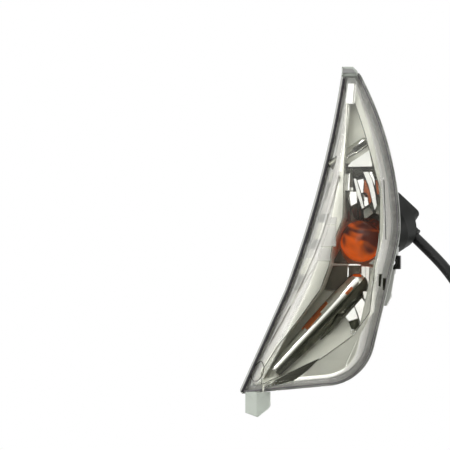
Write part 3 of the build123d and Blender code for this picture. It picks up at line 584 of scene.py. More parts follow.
# The reflector's skin and its opening, the same as the solid's
SKIN_GAP = 0.7
SKIN_SIDE_GAP = 0.4
SKIN_INSET = LENS_LIP + SKIRT_WALL + SKIN_GAP + SKIN_SIDE_GAP
SKIN_SHIFT = LENS_LEFT_LIP + LEFT_WALL + SKIN_GAP
SKIN_DROP = LENS_WALL + 3.0
SKIN_WALL = 1.4
SKIN_TOP_DROP = 2.0
SKIN_SOFTEN = 0.8
SKIN_BACK_SOFTEN = 0.4
SKIN_FACE_ROWS = 10
SKIN_DEEP_ROWS = 8
OPENING_RIGHT = np.array(
    [
        (8.7, 81.6), (14.7, 64.2), (20.1, 45.0), (24.0, 31.2), (24.0, -1.8), (21.3, -13.8),
        (18.3, -40.8), (7.5, -55.2), (-11.7, -69.0), (-32.7, -78.0), (-46.5, -84.0),
    ]
)
# The place in that list where the right side turns into the foot
OPENING_TURN = 6
OPENING_LEFT = np.array(
    [
        (-46.0, -76.0), (-35.7, -60.5), (-23.7, -45.5), (-10.5, -27.6), (-5.4, -13.8), (-3.2, -0.6),
        (2.6, 14.0), (3.0, 45.0), (4.6, 82.2),
    ]
)
# The opening's floor from top to foot, as depth against height, and which way its back lies
FLOOR = np.array(
    [
        (-34.0, 88.0, 1), (-38.5, 46.5, 1), (-21.0, 46.5, 1), (-21.0, 13.0, 1), (-13.0, 13.0, 1),
        (-13.0, -15.0, -1), (-24.0, -17.0, -1), (-42.0, -88.0, -1),
    ]
)
# The heights at which the wall beside the floor takes those depths
FLOOR_HEIGHTS = [88.0, 48.0, 46.0, 14.0, 12.0, -14.0, -18.0, -88.0]
FLOOR_WALL = 1.2
FLOOR_STEP = 2.0
FLOOR_COLUMNS = 24


def opening_loop():
    """The opening's loop, its points matched to the rim's four sides."""
    left = resample(OPENING_LEFT, LEFT_COUNT)
    top = np.linspace(OPENING_LEFT[-1], OPENING_RIGHT[0], TOP_COUNT)
    right = resample(OPENING_RIGHT[: OPENING_TURN + 1], RIGHT_COUNT)
    foot = resample(np.vstack([OPENING_RIGHT[OPENING_TURN:], OPENING_LEFT[:1]]), FOOT_COUNT)
    return np.vstack([left, top, right, foot])


def floor_depth(z):
    """The opening's floor at height z, taken where the wall beside it ends."""
    return np.interp(z, FLOOR_HEIGHTS[::-1], FLOOR[::-1, 0])


def make_skin():
    """The silvered skin: it follows the lens inside, and turns back round the opening to its floor.

    It is one closed band: up the outer wall, in over the dome to the opening, back along the
    opening's wall, and home again a wall's thickness behind."""
    outer = shell_form(SKIN_INSET, SKIN_SHIFT, SKIN_DROP, SKIN_SOFTEN, SKIN_TOP_DROP)
    inner = shell_form(
        SKIN_INSET + SKIN_WALL,
        SKIN_SHIFT + SKIN_WALL,
        SKIN_DROP + SKIN_WALL,
        SKIN_BACK_SOFTEN,
        SKIN_TOP_DROP + SKIN_WALL,
    )
    mouth = opening_loop()
    beyond = mouth - inward(mouth) * FLOOR_WALL
    share = np.linspace(0, 1, SKIN_FACE_ROWS)[1:, None, None]

    def over_dome(edge, loop, drop):
        flat = edge[None, :, [0, 2]] * (1 - share) + loop[None] * share
        return np.stack([flat[..., 0], dome_y(flat[..., 0], flat[..., 1], drop), flat[..., 1]], -1)

    deep = floor_depth(mouth[:, 1]) + FLOOR_WALL / 2
    back = np.linspace(0, 1, SKIN_DEEP_ROWS)[1:, None]

    def straight_back(edge):
        wall = np.repeat(edge[None], len(back), axis=0)
        wall[..., 1] = edge[:, 1] * (1 - back) + deep * back
        return wall

    face = over_dome(outer[-1], mouth, SKIN_DROP)
    under = over_dome(inner[-1], beyond, SKIN_DROP + SKIN_WALL)
    front_wall = straight_back(face[-1])
    rear_wall = straight_back(under[-1])[::-1]
    rows = [outer, face, front_wall, rear_wall, under[::-1][1:], inner[::-1], outer[:1]]
    build = Builder()
    build.grid(np.concatenate(rows), wrap=True)
    band = build.slots[-1].reshape(-1, outer.shape[1])
    # The outer side wall takes the second finish, the darker satin of painted shade
    band[: len(outer) - SOFTEN_ROWS] = 1
    return build.piece("reflector_skin")


def make_floor_of_opening():
    """The floor of the opening: its stepped line, carried across from side to side."""
    front = []
    back = []
    for one, two in zip(FLOOR, FLOOR[1:]):
        count = max(int(np.hypot(*(two - one)[:2]) / FLOOR_STEP), 2)
        share = np.linspace(0, 1, count)[:, None]
        line = one * (1 - share) + two * share
        front.append(line[:, :2])
        back.append(line[:, :2] + FLOOR_WALL * np.stack([np.ones(count), line[:, 2]], -1))
    across = np.linspace(0, 1, FLOOR_COLUMNS)[None, :]

    def carried(line):
        left = np.interp(line[:, 1], OPENING_LEFT[:, 1], OPENING_LEFT[:, 0]) - FLOOR_WALL / 2
        right = np.interp(line[:, 1], OPENING_RIGHT[::-1, 1], OPENING_RIGHT[::-1, 0]) + FLOOR_WALL / 2
        x = left[:, None] * (1 - across) + right[:, None] * across
        return np.stack([x, line[:, :1] + 0 * x, line[:, 1:] + 0 * x], -1)

    build = Builder()
    build.slab(carried(np.vstack(front)), carried(np.vstack(back)))
    return build.piece("reflector_floor", smooth=False)


# How finely the tubes are drawn
ROD_RINGS = 40
ROD_SIDES = 72
ROD_DOME_ROWS = 10
# The tubes' two ends, the radius at each, and the power by which the radius changes between them
LOWER_TUBE = ((8.6, -31.5, -25.2), (-39.0, -43.5, -76.6), 6.9, 3.8, 2.2)
UPPER_TUBE = (at_pixel(363.6, 143.0, -38.0), at_pixel(331.0, 166.0, -34.5), 3.1, 3.3, 1.0)
# Patches of painted reflection on a tube: a span of its length, a span of degrees from its upper left
# over its front, and the material slot: 1 is painted dark reflection, 2 painted amber reflection
# of the bulb
LOWER_PAINTED_REFLECTIONS = [
    ((0.0, 1.0), (96, 215), 1),
    ((0.50, 0.64), (8, 64), 2),
    ((0.42, 0.50), (8, 48), 2),
    ((0.64, 0.68), (8, 36), 2),
    ((0.23, 0.29), (78, 92), 2),
]
UPPER_PAINTED_REFLECTIONS = [
    ((0.0, 0.42), (75, 130), 1),
    ((0.0, 1.0), (150, 215), 1),
    ((0.78, 1.0), (30, 150), 1),
]


def rod_points(start, end, start_radius, end_radius, taper):
    """A tapered rod between two points, round at its start and flat at its end.

    Its radius runs from the first to the last by its share of the length to the power taper."""
    line = np.asarray(end, float) - np.asarray(start, float)
    length = np.linalg.norm(line)
    line = line / length
    side = np.cross(line, (0, -1.0, 0))
    side = side / np.linalg.norm(side)
    front = np.cross(side, line)
    angle = np.linspace(0, 2 * math.pi, ROD_SIDES, endpoint=False)
    round_turn = np.linspace(0, math.pi / 2, ROD_DOME_ROWS)
    share = np.linspace(0, 1, ROD_RINGS)[1:]
    places = np.concatenate([-start_radius * np.cos(round_turn), length * share])
    narrowing = start_radius + (end_radius - start_radius) * share**taper
    radii = np.concatenate([start_radius * np.sin(round_turn), narrowing])
    ring = np.cos(angle)[:, None] * side + np.sin(angle)[:, None] * front
    return np.asarray(start) + places[:, None, None] * line + radii[:, None, None] * ring[None]


def make_rod(name, start, end, start_radius, end_radius, taper, patches):
    """One chrome tube of the reflector, with patches of painted dark reflection and painted amber
    reflection of the bulb.
    """
    points = rod_points(start, end, start_radius, end_radius, taper)
    build = Builder()
    build.grid(points, wrap=True)
    band = build.slots[-1].reshape(len(points) - 1, -1)
    turn = np.arange(band.shape[1]) * 360 / band.shape[1]
    reach = np.linspace(0, 1, len(band))
    for along, around, slot in patches:
        rows = (reach >= along[0]) & (reach <= along[1])
        columns = (turn >= around[0]) & (turn < around[1])
        band[np.ix_(rows, columns)] = slot
    build.fan(points[-1], np.asarray(end, float))
    return finished(build.piece(name), SILVER, PAINTED_DARK_REFLECTION, PAINTED_BULB_REFLECTION)


# How a facet leans, its slopes in X and Z with back being positive, and its material slot:
# slot 1 is painted dark reflection, slot 2 painted reflection of the bulb, slot 3 mottled painted shade
LEANS = {
    "bright": (0.0, 0.38, 0),
    "pale": (0.0, 0.18, 0),
    "dull": (0.0, -0.28, 0),
    "dark": (0.10, -0.62, 1),
    "bulb": (0.06, 0.10, 2),
    "mottled_shade": (0.04, -0.10, 3),
}
FACET_WALL = 1.0
BEVEL = 0.22


def polygon_plate(build, front, thickness, back_y=None):
    """A closed plate from its front corners: a bevelled edge, a straight side and a flat back.

    With back_y the plate is a block that reaches back to that depth."""
    middle = front.mean(axis=0)
    away = front - middle
    reach = np.linalg.norm(away, axis=1)[:, None]
    inner = middle + away * (1 - BEVEL / np.maximum(reach, 2 * BEVEL))
    back = np.array([0, 1.0, 0])
    rear = front + back * thickness
    if back_y is not None:
        rear[:, 1] = back_y
    layers = np.stack([inner, front + back * BEVEL, rear])
    build.grid(layers, wrap=True)
    build.fan(layers[0], layers[0].mean(axis=0), flip=True)
    build.fan(layers[-1], layers[-1].mean(axis=0))


def bowl_depth(py):
    """The bowl's depth at a height in the photograph's frame: it runs back from its top to its foot."""
    return np.interp(py, [BOWL_TOP_PY, BOWL_FOOT_PY], [BOWL_TOP_Y, BOWL_FOOT_Y])


def make_facets(name, facets, back_y=None):
    """Flat chrome facets, each from its corners in the photograph's frame, its depth and its lean.

    A facet with no depth of its own lies on the bowl. The slots are bright metal, metal with painted dark
    reflection, metal with painted reflection of the bulb, and mottled metal with painted shade."""
    build = Builder()
    for corners, depth, lean in facets:
        corners = np.array(corners)
        if depth is None:
            depth = bowl_depth(corners[:, 1].mean())
        slope_x, slope_z, build.slot = LEANS[lean]
        front = at_pixel(corners[:, 0], corners[:, 1], depth)
        away = front - front.mean(axis=0)
        front[:, 1] = depth + away[:, 0] * slope_x + away[:, 2] * slope_z
        polygon_plate(build, front, FACET_WALL, back_y)
    made = build.piece(name, smooth=False)
    return finished(made, SILVER, PAINTED_DARK_REFLECTION, PAINTED_BULB_REFLECTION, PAINTED_MOTTLED_SHADE)


# Depths of the places where the facets sit
TOP_Y = -44.0
UNDER_TUBE_Y = -39.6
BOWL_TOP_Y = -39.5
BOWL_FOOT_Y = -27.0
BOWL_BACK_Y = -20.5
BOWL_LEFT_Y = -41.0
PANEL_Y = -29.0
PANEL_RIB_Y = PANEL_Y - 0.5
FAN_Y = -38.0
# The bowl's top and foot in the photograph's frame
BOWL_TOP_PY = 167.0
BOWL_FOOT_PY = 220.0

# Each facet's corners in the photograph's frame, its depth and its lean
TOP_FACETS = [
    ([(347.9, 83.6), (354.0, 83.6), (353.0, 104.6), (345.7, 104.0)], TOP_Y, "bright"),
    ([(354.9, 84.5), (356.3, 85.0), (355.2, 102.0), (353.6, 105.8)], TOP_Y, "pale"),
    ([(351.0, 162.5), (369.2, 150.5), (372.7, 166.8), (347.0, 167.2)], UNDER_TUBE_Y, "pale"),
]
BOWL_FACETS = [
    ([(344.7, 167.8), (350.2, 168.4), (349.8, 172.8), (344.8, 173.6)], None, "dark"),
    ([(344.8, 174.0), (350.0, 173.3), (349.7, 190.8), (345.4, 191.0)], BOWL_LEFT_Y, "bright"),
    ([(350.6, 169.0), (352.4, 168.4), (353.0, 191.0), (350.5, 191.0)], None, "dull"),
    ([(352.8, 168.0), (360.4, 168.0), (363.0, 173.5), (356.6, 177.4), (353.2, 174.5)], None, "dark"),
    (
        [
            (353.3, 178.5), (355.8, 178.3), (361.0, 194.0),
            (364.4, 208.0), (362.4, 209.0), (357.0, 195.0),
        ],
        None,
        "pale",
    ),
    ([(356.4, 178.3), (362.2, 176.2), (363.9, 181.0), (363.2, 193.3), (361.6, 193.3)], None, "bright"),
    (
        [
            (364.1, 180.0), (365.6, 180.4), (368.4, 187.0), (371.5, 200.5),
            (369.4, 205.0), (367.3, 194.2), (363.6, 192.6),
        ],
        None,
        "bulb",
    ),
    (
        [
            (361.2, 167.8), (366.3, 168.2), (372.0, 180.0), (375.4, 194.0),
            (377.0, 206.0), (375.0, 210.5), (371.8, 199.0), (368.6, 186.0),
        ],
        None,
        "pale",
    ),
    ([(366.8, 168.4), (369.8, 168.6), (374.6, 179.0), (375.4, 186.5), (372.6, 180.0)], None, "bright"),
    ([(370.3, 168.6), (374.4, 170.0), (378.6, 176.2), (379.6, 180.0), (375.2, 178.6)], None, "dark"),
    ([(375.4, 180.2), (379.9, 180.6), (381.0, 195.0), (377.1, 194.6), (375.9, 187.0)], None, "bulb"),
    ([(377.4, 196.2), (381.4, 196.2), (381.4, 216.0), (375.4, 213.6), (377.4, 205.0)], None, "dull"),
    ([(345.8, 191.8), (348.4, 191.8), (350.7, 205.6), (347.2, 197.0)], None, "pale"),
    ([(348.6, 191.6), (356.2, 191.6), (357.4, 203.2), (351.2, 206.4)], BOWL_LEFT_Y, "bright"),
    ([(362.2, 194.0), (367.0, 194.8), (368.8, 205.0), (364.9, 207.0)], None, "bright"),
    ([(343.8, 222.0), (344.6, 206.0), (346.8, 198.0), (350.4, 206.4), (349.4, 221.0)], None, "dark"),
    ([(351.6, 207.0), (356.8, 204.4), (357.6, 220.0), (353.6, 218.0)], None, "dark"),
    ([(358.6, 205.0), (361.2, 204.0), (362.6, 219.5), (358.7, 220.0)], None, "dark"),
    ([(363.2, 210.0), (369.6, 206.5), (373.6, 213.0), (367.0, 218.0), (364.0, 220.0)], None, "dull"),
]
FAN_FACETS = [
    ([(361.3, 266.0), (365.2, 266.2), (366.0, 290.0), (362.9, 290.4), (361.4, 277.0)], PANEL_Y, "pale"),
    ([(365.4, 266.2), (369.2, 266.4), (368.4, 290.0), (366.2, 290.0)], PANEL_Y, "pale"),
    ([(369.5, 267.0), (373.4, 267.0), (371.8, 289.6), (369.0, 290.0)], PANEL_Y, "dull"),
    ([(362.6, 291.0), (373.0, 291.6), (372.4, 297.0), (364.0, 299.0)], FAN_Y, "pale"),
    ([(364.2, 299.6), (372.4, 297.8), (372.0, 305.0), (366.8, 303.4)], FAN_Y, "bright"),
    ([(345.4, 316.6), (354.0, 306.6), (358.2, 318.2), (349.0, 321.0)], FAN_Y, "bright"),
    (
        [
            (354.4, 306.0), (361.4, 297.8), (366.0, 303.8), (368.2, 312.0),
            (366.0, 318.6), (360.4, 321.2), (357.4, 313.0),
        ],
        FAN_Y,
        "bright",
    ),
    ([(367.6, 304.4), (372.0, 305.8), (370.6, 316.0), (368.8, 317.0)], FAN_Y, "bright"),
    ([(348.8, 321.4), (357.8, 318.8), (359.6, 325.0), (354.4, 330.2), (351.4, 329.8)], FAN_Y, "dark"),
    ([(359.4, 321.8), (364.4, 320.2), (363.0, 325.2), (360.2, 326.6)], FAN_Y, "dark"),
    ([(340.8, 315.0), (343.6, 318.0), (330.0, 331.6), (313.7, 346.6), (326.0, 331.6)], FAN_Y, "dark"),
]
PANEL_FACETS = [
    (
        [
            (331.8, 265.8), (347.4, 265.8), (347.4, 279.2), (340.0, 285.0),
            (336.0, 290.0), (322.4, 289.5), (325.2, 280.0),
        ],
        PANEL_Y,
        "mottled_shade",
    ),
    ([(348.8, 265.8), (360.6, 265.8), (360.6, 276.0), (356.0, 273.0), (348.8, 278.2)], PANEL_Y, "mottled_shade"),
    ([(340.3, 248.5), (343.0, 256.0), (348.0, 263.2), (332.3, 263.3)], PANEL_Y, "mottled_shade"),
    ([(331.5, 263.6), (361.0, 264.2), (361.0, 265.5), (331.5, 265.2)], PANEL_RIB_Y, "bright"),
    ([(347.6, 265.4), (348.7, 265.4), (348.7, 278.0), (347.6, 279.0)], PANEL_RIB_Y, "bright"),
    ([(368.0, 263.5), (374.5, 258.5), (374.3, 265.0)], PANEL_Y, "dull"),
]

# The low cells on the skin's front and wing: their corners in the photograph's frame and their slot;
# the darker finishes they take are painted shade
CELL_PROUD = 0.3
BEZEL_CELLS = [
    ([(339.2, 172.0), (340.6, 172.0), (328.8, 214.0), (327.2, 214.0)], 0),
    ([(316.4, 262.0), (317.8, 262.0), (291.0, 306.0), (289.4, 306.0)], 0),
    ([(383.4, 180.0), (384.3, 180.0), (386.4, 240.0), (385.4, 240.0)], 1),
    ([(382.8, 278.0), (386.6, 278.0), (384.6, 291.0), (382.6, 290.0)], 1),
    ([(328.4, 217.2), (337.0, 217.2), (336.0, 224.6), (326.6, 224.6)], 0),
    ([(326.0, 225.4), (336.0, 225.4), (336.0, 246.6), (320.6, 246.6)], 0),
    ([(320.4, 247.4), (330.4, 247.4), (330.4, 261.0), (317.0, 261.0)], 0),
    ([(378.6, 274.0), (382.0, 274.0), (380.6, 287.0), (378.4, 286.0)], 1),
]
WING_CELLS = [
    ([(329.0, 172.0), (333.4, 172.0), (331.0, 182.0), (325.4, 182.0)], 0),
    ([(325.0, 183.0), (330.4, 183.0), (325.8, 200.0), (320.6, 200.0)], 1),
    ([(299.0, 276.0), (305.6, 276.0), (299.0, 290.0), (292.6, 290.0)], 1),
    ([(321.0, 214.0), (327.6, 214.0), (326.0, 222.0), (319.0, 222.0)], 1),
    ([(318.8, 223.0), (325.4, 223.0), (321.6, 239.0), (315.0, 239.0)], 0),
    ([(314.0, 240.0), (320.6, 240.0), (317.0, 249.0), (309.6, 249.0)], 1),
    ([(306.0, 258.0), (314.0, 258.0), (307.4, 274.0), (299.6, 274.0)], 0),
]
# The fold that runs down the wing, and its width; its dark mottled finish is painted shade along the
# crease
WING_FOLD = [
    (338.5, 176.0), (331.5, 202.0), (327.0, 217.0), (320.3, 238.0), (313.2, 256.0), (306.4, 272.0),
    (296.1, 294.0), (282.4, 320.0), (267.8, 346.0),
]
FOLD_WIDTH = 0.9
FOLD_GAP = 0.15
FOLD_PROUD = 0.5
# The lip across the top of the tab, in darker clear plastic: painted shade on the tab's sloping top edge
TAB_LIP = [(342.8, 68.6), (352.4, 68.6), (356.2, 73.0), (342.4, 73.0)]
TAB_LIP_PROUD = 0.5
# The leaf at the foot, the stake's ring and the oval ring on the lens; the leaf and the oval ring are in
# silver with painted dark reflection
LEAF = [
    (320.4, 357.4), (312.0, 366.0), (303.0, 374.4), (293.0, 381.0), (278.0, 385.4), (264.0, 388.0),
    (276.0, 379.6), (290.0, 372.0), (306.0, 364.0),
]
LEAF_PROUD = 0.8
STAKE = (353.2, 331.6)
STAKE_R = 2.2
STAKE_POINTS = 16
STAKE_PROUD = 0.1
OVAL = [
    (261.5, 360.4), (256.4, 364.6), (251.8, 371.0), (250.6, 377.0),
    (253.6, 381.4), (258.6, 380.6), (262.8, 374.4), (264.2, 366.6),
]
# How often a depth on the dome or the wing is worked out again under its pixel
DOME_TRIES = 6
WING_TRIES = 12


def on_bezel(px, py, proud):
    """The place on the skin's round front that lies under a pixel, standing proud of it."""
    y = LENS_FRONT_Y
    for _ in range(DOME_TRIES):
        place = at_pixel(px, py, y)
        y = dome_y(place[..., 0], place[..., 2], SKIN_DROP)
    return at_pixel(px, py, y - proud)


def on_wing(px, py, proud, shift=SKIN_SHIFT):
    """The place on a left face that lies under a pixel, standing proud of it.

    The face is the skin's, or the one that lies shift to the right of the rim's left side."""
    y = LENS_FRONT_Y / 2 + 0 * np.asarray(px, float)
    for _ in range(WING_TRIES):
        place = at_pixel(px, py, y)
        height = (place[..., 0] + proud - left_x(place[..., 2]) - shift) / left_slope(place[..., 2])
        y = FLANGE_Y - height
    return at_pixel(px, py, y)


def on_tab(px, py, proud):
    """The place on the top tab's front that lies under a pixel, standing proud of it."""
    return at_pixel(px, py, TAB_FRONT_Y - proud)


def fold_cells():
    """The wing's fold as a row of narrow cells, one between each two places of its line."""
    cells = []
    for (x0, y0), (x1, y1) in zip(WING_FOLD, WING_FOLD[1:]):
        top = y0 + FOLD_GAP
        foot = y1 - FOLD_GAP
        cells.append(([(x0, top), (x0 + FOLD_WIDTH, top), (x1 + FOLD_WIDTH, foot), (x1, foot)], 0))
    return cells


def make_cells(name, cells, place, proud, *finishes):
    """Low plates on a face, each from its corners in the photograph's frame and its material slot."""
    build = Builder()
    for corners, slot in cells:
        corners = np.array(corners)
        build.slot = slot
        polygon_plate(build, place(corners[:, 0], corners[:, 1], proud), proud + 2 * CELL_PROUD)
    return finished(build.piece(name, smooth=False), *finishes)


# The thin beads: how finely they are drawn, their radii, and how they sit on the lens's foot
BEAD_POINTS = 72
LONG_BEAD_POINTS = 900
BEAD_SIDES = 10
BEAD_PASSES = 6
RING_R = 0.3
OPENING_EDGE_R = 0.2
OPENING_EDGE_PROUD = 0.05
RIM_LINE_R = 0.24
RIM_LINE_OUT = 0.1
RIM_LINE_PROUD = 0.05
RIM_LINE_SUNK = 0.8


def bead_along(name, places, radius, count=BEAD_POINTS):
    """A closed bead that runs through the given places, smoothed between them."""
    turn = np.linspace(0, 2 * math.pi, len(places) + 1)
    want = np.linspace(0, 2 * math.pi, count, endpoint=False)
    closed = np.vstack([places, places[:1]])
    line = np.stack([np.interp(want, turn, closed[:, k]) for k in range(3)], -1)
    for _ in range(BEAD_PASSES):
        line = (np.roll(line, 1, axis=0) + line * 2 + np.roll(line, -1, axis=0)) / 4
    along = np.roll(line, -1, axis=0) - np.roll(line, 1, axis=0)
    along = along / np.linalg.norm(along, axis=1)[:, None]
    side = np.cross(along, (0, 1.0, 0))
    side = side / np.linalg.norm(side, axis=1)[:, None]
    front = np.cross(side, along)
    angle = np.linspace(0, 2 * math.pi, BEAD_SIDES, endpoint=False)[None, :, None]
    tube = line[:, None] + radius * (np.cos(angle) * side[:, None] + np.sin(angle) * front[:, None])
    build = Builder()
    build.grid(np.concatenate([tube, tube[:1]]), wrap=True)
    return build.piece(name)


def make_stake_ring():
    """The ring round the heat stake below the fan."""
    angle = np.linspace(0, 2 * math.pi, STAKE_POINTS, endpoint=False)
    px = STAKE[0] + STAKE_R * np.cos(angle)
    py = STAKE[1] + STAKE_R * np.sin(angle)
    return bead_along("stake_ring", on_bezel(px, py, STAKE_PROUD), RING_R)


def make_oval_ring():
    """The oval ring moulded on the lens's left face, near its foot."""
    px, py = np.array(OVAL).T
    return bead_along("oval_ring", on_wing(px, py, 0.0, LENS_LEFT_LIP), RING_R)


def make_rim_line():
    """A dark line along the foot of the lens's skirt: painted shade of the lens's edge."""
    foot = np.vstack(loop_at(LENS_LIP - RIM_LINE_OUT, LENS_LEFT_LIP))
    places = as_points(foot, FLANGE_Y - LENS_FLANGE - RIM_LINE_PROUD)
    places[:LEFT_COUNT, 1] = FLANGE_Y + RIM_LINE_SUNK
    return bead_along("rim_line", places, RIM_LINE_R, LONG_BEAD_POINTS)


def make_opening_edge():
    """The thin edge round the skin's opening, in silver with painted dark reflection."""
    x, z = opening_loop().T
    places = np.stack([x, dome_y(x, z, SKIN_DROP) - OPENING_EDGE_PROUD, z], -1)
    return bead_along("opening_edge", places, OPENING_EDGE_R, LONG_BEAD_POINTS)


# The hole for the bulb, along its axis from the ball's middle
BULB_HOLE_R = 13.4
BULB_HOLE_START = 5.0
BULB_HOLE_END = 60.0
BULB_HOLE_SIDES = 96


def bulb_cutter():
    """A plain round bar on the bulb's axis, which the hole is cut with."""
    side = np.cross(AXIS, (0, 0, 1.0))
    side = side / np.linalg.norm(side)
    up = np.cross(side, AXIS)
    angle = np.linspace(0, 2 * math.pi, BULB_HOLE_SIDES, endpoint=False)
    ring = BULB_HOLE_R * (np.cos(angle)[:, None] * side + np.sin(angle)[:, None] * up)
    ends = [BALL + AXIS * BULB_HOLE_START, BALL + AXIS * BULB_HOLE_END]
    build = Builder()
    build.grid(np.stack([ends[0] + ring, ends[1] + ring]), wrap=True)
    build.fan(ends[0] + ring, ends[0])
    build.fan(ends[1] + ring, ends[1])
    return build.piece("cutter")


def cut(piece, cutter):
    """Take the cutter's form out of a piece and put the cut mesh in its place."""
    modifier = piece.modifiers.new("hole", "BOOLEAN")
    modifier.object = cutter
    modifier.operation = "DIFFERENCE"
    modifier.solver = "EXACT"
    graph = bpy.context.evaluated_depsgraph_get()
    made = bpy.data.meshes.new_from_object(piece.evaluated_get(graph))
    piece.modifiers.clear()
    piece.data = made


def node_tree(name):
    """A new material, with its node tree and its shader."""
    material = bpy.data.materials.new(name)
    material.use_nodes = True
    tree = material.node_tree
    shader = tree.nodes["Principled BSDF"]
    return material, tree, shader


def fill(tree, node, inputs):
    """Give each input of a node, by name or number, its value or the output that feeds it."""
    for name, value in inputs.items():
        if isinstance(value, bpy.types.NodeSocket):
            tree.links.new(value, node.inputs[name])
        else:
            node.inputs[name].default_value = value


def add_node(tree, kind, inputs=None, **settings):
    """A new shader node, with its settings made before its inputs are filled."""
    node = tree.nodes.new("ShaderNode" + kind)
    for name, value in settings.items():
        setattr(node, name, value)
    fill(tree, node, inputs or {})
    return node


def number(tree, operation, one, two):
    """A Math node's output from two inputs, each an output or a number."""
    return add_node(tree, "Math", {0: one, 1: two}, operation=operation).outputs["Value"]


def mapped(tree, value, low, high, to_low=0.0, to_high=1.0, kind="LINEAR"):
    """A value mapped from low..high to another span, held at its ends."""
    inputs = {"Value": value, "From Min": low, "From Max": high, "To Min": to_low, "To Max": to_high}
    return add_node(tree, "MapRange", inputs, interpolation_type=kind).outputs["Result"]


def object_noise(tree, scale, detail, distortion=0.0):
    """A noise on Object coordinates."""
    place = add_node(tree, "TexCoord").outputs["Object"]
    inputs = {"Vector": place, "Scale": scale, "Detail": detail, "Distortion": distortion}
    return add_node(tree, "TexNoise", inputs).outputs["Fac"]


def colour_line(tree, value, stops):
    """A colour ramp over a value from 0 to 1, from stops of place and colour."""
    ramp = add_node(tree, "ValToRGB", {"Fac": value})
    elements = ramp.color_ramp.elements
    while len(elements) < len(stops):
        elements.new(0.5)
    for element, (place, colour) in zip(elements, stops):
        element.position = place
        element.color = (*colour, 1)
    return ramp.outputs["Color"]


# The patches of tone and roughness on a finish, how dark they get, and the depth of its grain in metres
TONE_SCALE = 60.0
TONE_DETAIL = 4.0
TONE_DARK = 0.86
TONE_LOW = 0.32
TONE_HIGH = 0.68
ROUGH_LOW = 0.3
ROUGH_HIGH = 0.7
LEAST_ROUGHNESS = 0.02
GRAIN_DEPTH = 0.0002
GRAIN_DETAIL = 3.0
PLASTIC_IOR = 1.49
GLASS_IOR = 1.45
# The amber glass's painted light and shade: the slant of painted shade over painted light, its fade in
# metres and where that is half way, its roughness, and its swirl
AMBER_LEAN = -0.55
AMBER_FADE = 0.014
AMBER_HALF = 0.45
AMBER_ROUGHNESS = 0.05
SWIRL_SCALE = 48.0
SWIRL_DETAIL = 1.5
SWIRL_BEND = 1.4
SWIRL_REACH = 0.06


def surface(name, colour, roughness, metallic=0.0, grain=0.0, grain_scale=900.0, vary=0.05, gloss=0.5):
    """A finish with a slight change of tone and roughness over it, and a fine grain in its bump."""
    material, tree, shader = node_tree(name)
    patches = object_noise(tree, TONE_SCALE, TONE_DETAIL)
    low = max(roughness - vary, LEAST_ROUGHNESS)
    high = min(roughness + vary, 1.0)
    stops = [(TONE_LOW, [c * TONE_DARK for c in colour]), (TONE_HIGH, colour)]
    inputs = {
        "Metallic": metallic,
        "Specular IOR Level": gloss,
        "Roughness": mapped(tree, patches, ROUGH_LOW, ROUGH_HIGH, low, high),
        "Base Color": colour_line(tree, patches, stops),
    }
    if grain:
        height = object_noise(tree, grain_scale, GRAIN_DETAIL)
        bump = add_node(tree, "Bump", {"Strength": grain, "Distance": GRAIN_DEPTH, "Height": height})
        inputs["Normal"] = bump.outputs["Normal"]
    fill(tree, shader, inputs)
    return material


def clear_plastic(name, colour, roughness=0.0, bend=1.0, body=0.0):
    """Clear moulded plastic.

    Bend is the share of light that bends at its walls, and body that of its own colour."""
    material, tree, shader = node_tree(name)
    inputs = {
        "Alpha": bend,
        "Base Color": (*colour, 1),
        "Roughness": roughness,
        "IOR": PLASTIC_IOR,
        "Transmission Weight": 1.0 - body,
    }
    fill(tree, shader, inputs)
    return material


def amber_glass(name, bright, deep, body, glow):
    """Tinted bulb glass with painted light: a painted bright lower left and painted shade on its upper
    right, with a swirl of both between.

    The glow is a painted glow; it stands for the daylight that the glass passes on from inside."""
    material, tree, shader = node_tree(name)
    place = add_node(tree, "TexCoord").outputs["Object"]
    way = add_node(tree, "SeparateXYZ", {"Vector": place}).outputs
    across = number(tree, "MULTIPLY", way["X"], AMBER_LEAN)
    slant = number(tree, "SUBTRACT", across, way["Z"])
    swirl = object_noise(tree, SWIRL_SCALE, SWIRL_DETAIL, SWIRL_BEND)
    even = number(tree, "SUBTRACT", swirl, 0.5)
    value = number(tree, "ADD", slant, number(tree, "MULTIPLY", even, SWIRL_REACH))
    share = mapped(tree, value, -AMBER_FADE, 0.0, kind="SMOOTHSTEP")
    between = [(a + b) / 2 for a, b in zip(bright, deep)]
    colour = colour_line(tree, share, [(0.0, deep), (AMBER_HALF, between), (1.0, bright)])
    inputs = {
        "Base Color": colour,
        "Roughness": AMBER_ROUGHNESS,
        "IOR": GLASS_IOR,
        "Transmission Weight": 1.0 - body,
        "Emission Color": colour,
        "Emission Strength": glow,
    }
    fill(tree, shader, inputs)
    return material


CLEAR = clear_plastic("clear_lens", (0.985, 0.99, 0.985))
CLEAR_WALL = clear_plastic("clear_lens_wall", (0.97, 0.97, 0.96), bend=0.14)
FROSTED = clear_plastic("frosted_clear", (0.54, 0.58, 0.53), roughness=0.4, body=0.45)
# Darker clear plastic for the tab's lip: painted shade on its sloping top edge
CLEAR_PAINTED_SHADE = clear_plastic("clear_with_painted_shade", (0.36, 0.36, 0.36), roughness=0.4, body=0.6)
SILVER = surface("silvered_plastic", (0.86, 0.86, 0.83), 0.06, metallic=1.0, vary=0.03)
# Chrome tinted amber: a painted reflection of the bulb
PAINTED_BULB_REFLECTION = surface(
    "silver_painted_bulb_reflection", (0.62, 0.15, 0.035), 0.22, metallic=0.4, vary=0.1, grain=0.2, grain_scale=500.0
)
# Chrome painted dark: painted dark reflection on facets, tube sides, cells, beads and the foot's leaf
PAINTED_DARK_REFLECTION = surface(
    "silver_painted_dark_reflection", (0.13, 0.13, 0.105), 0.16, metallic=1.0, vary=0.08, grain=0.15, grain_scale=1200.0
)
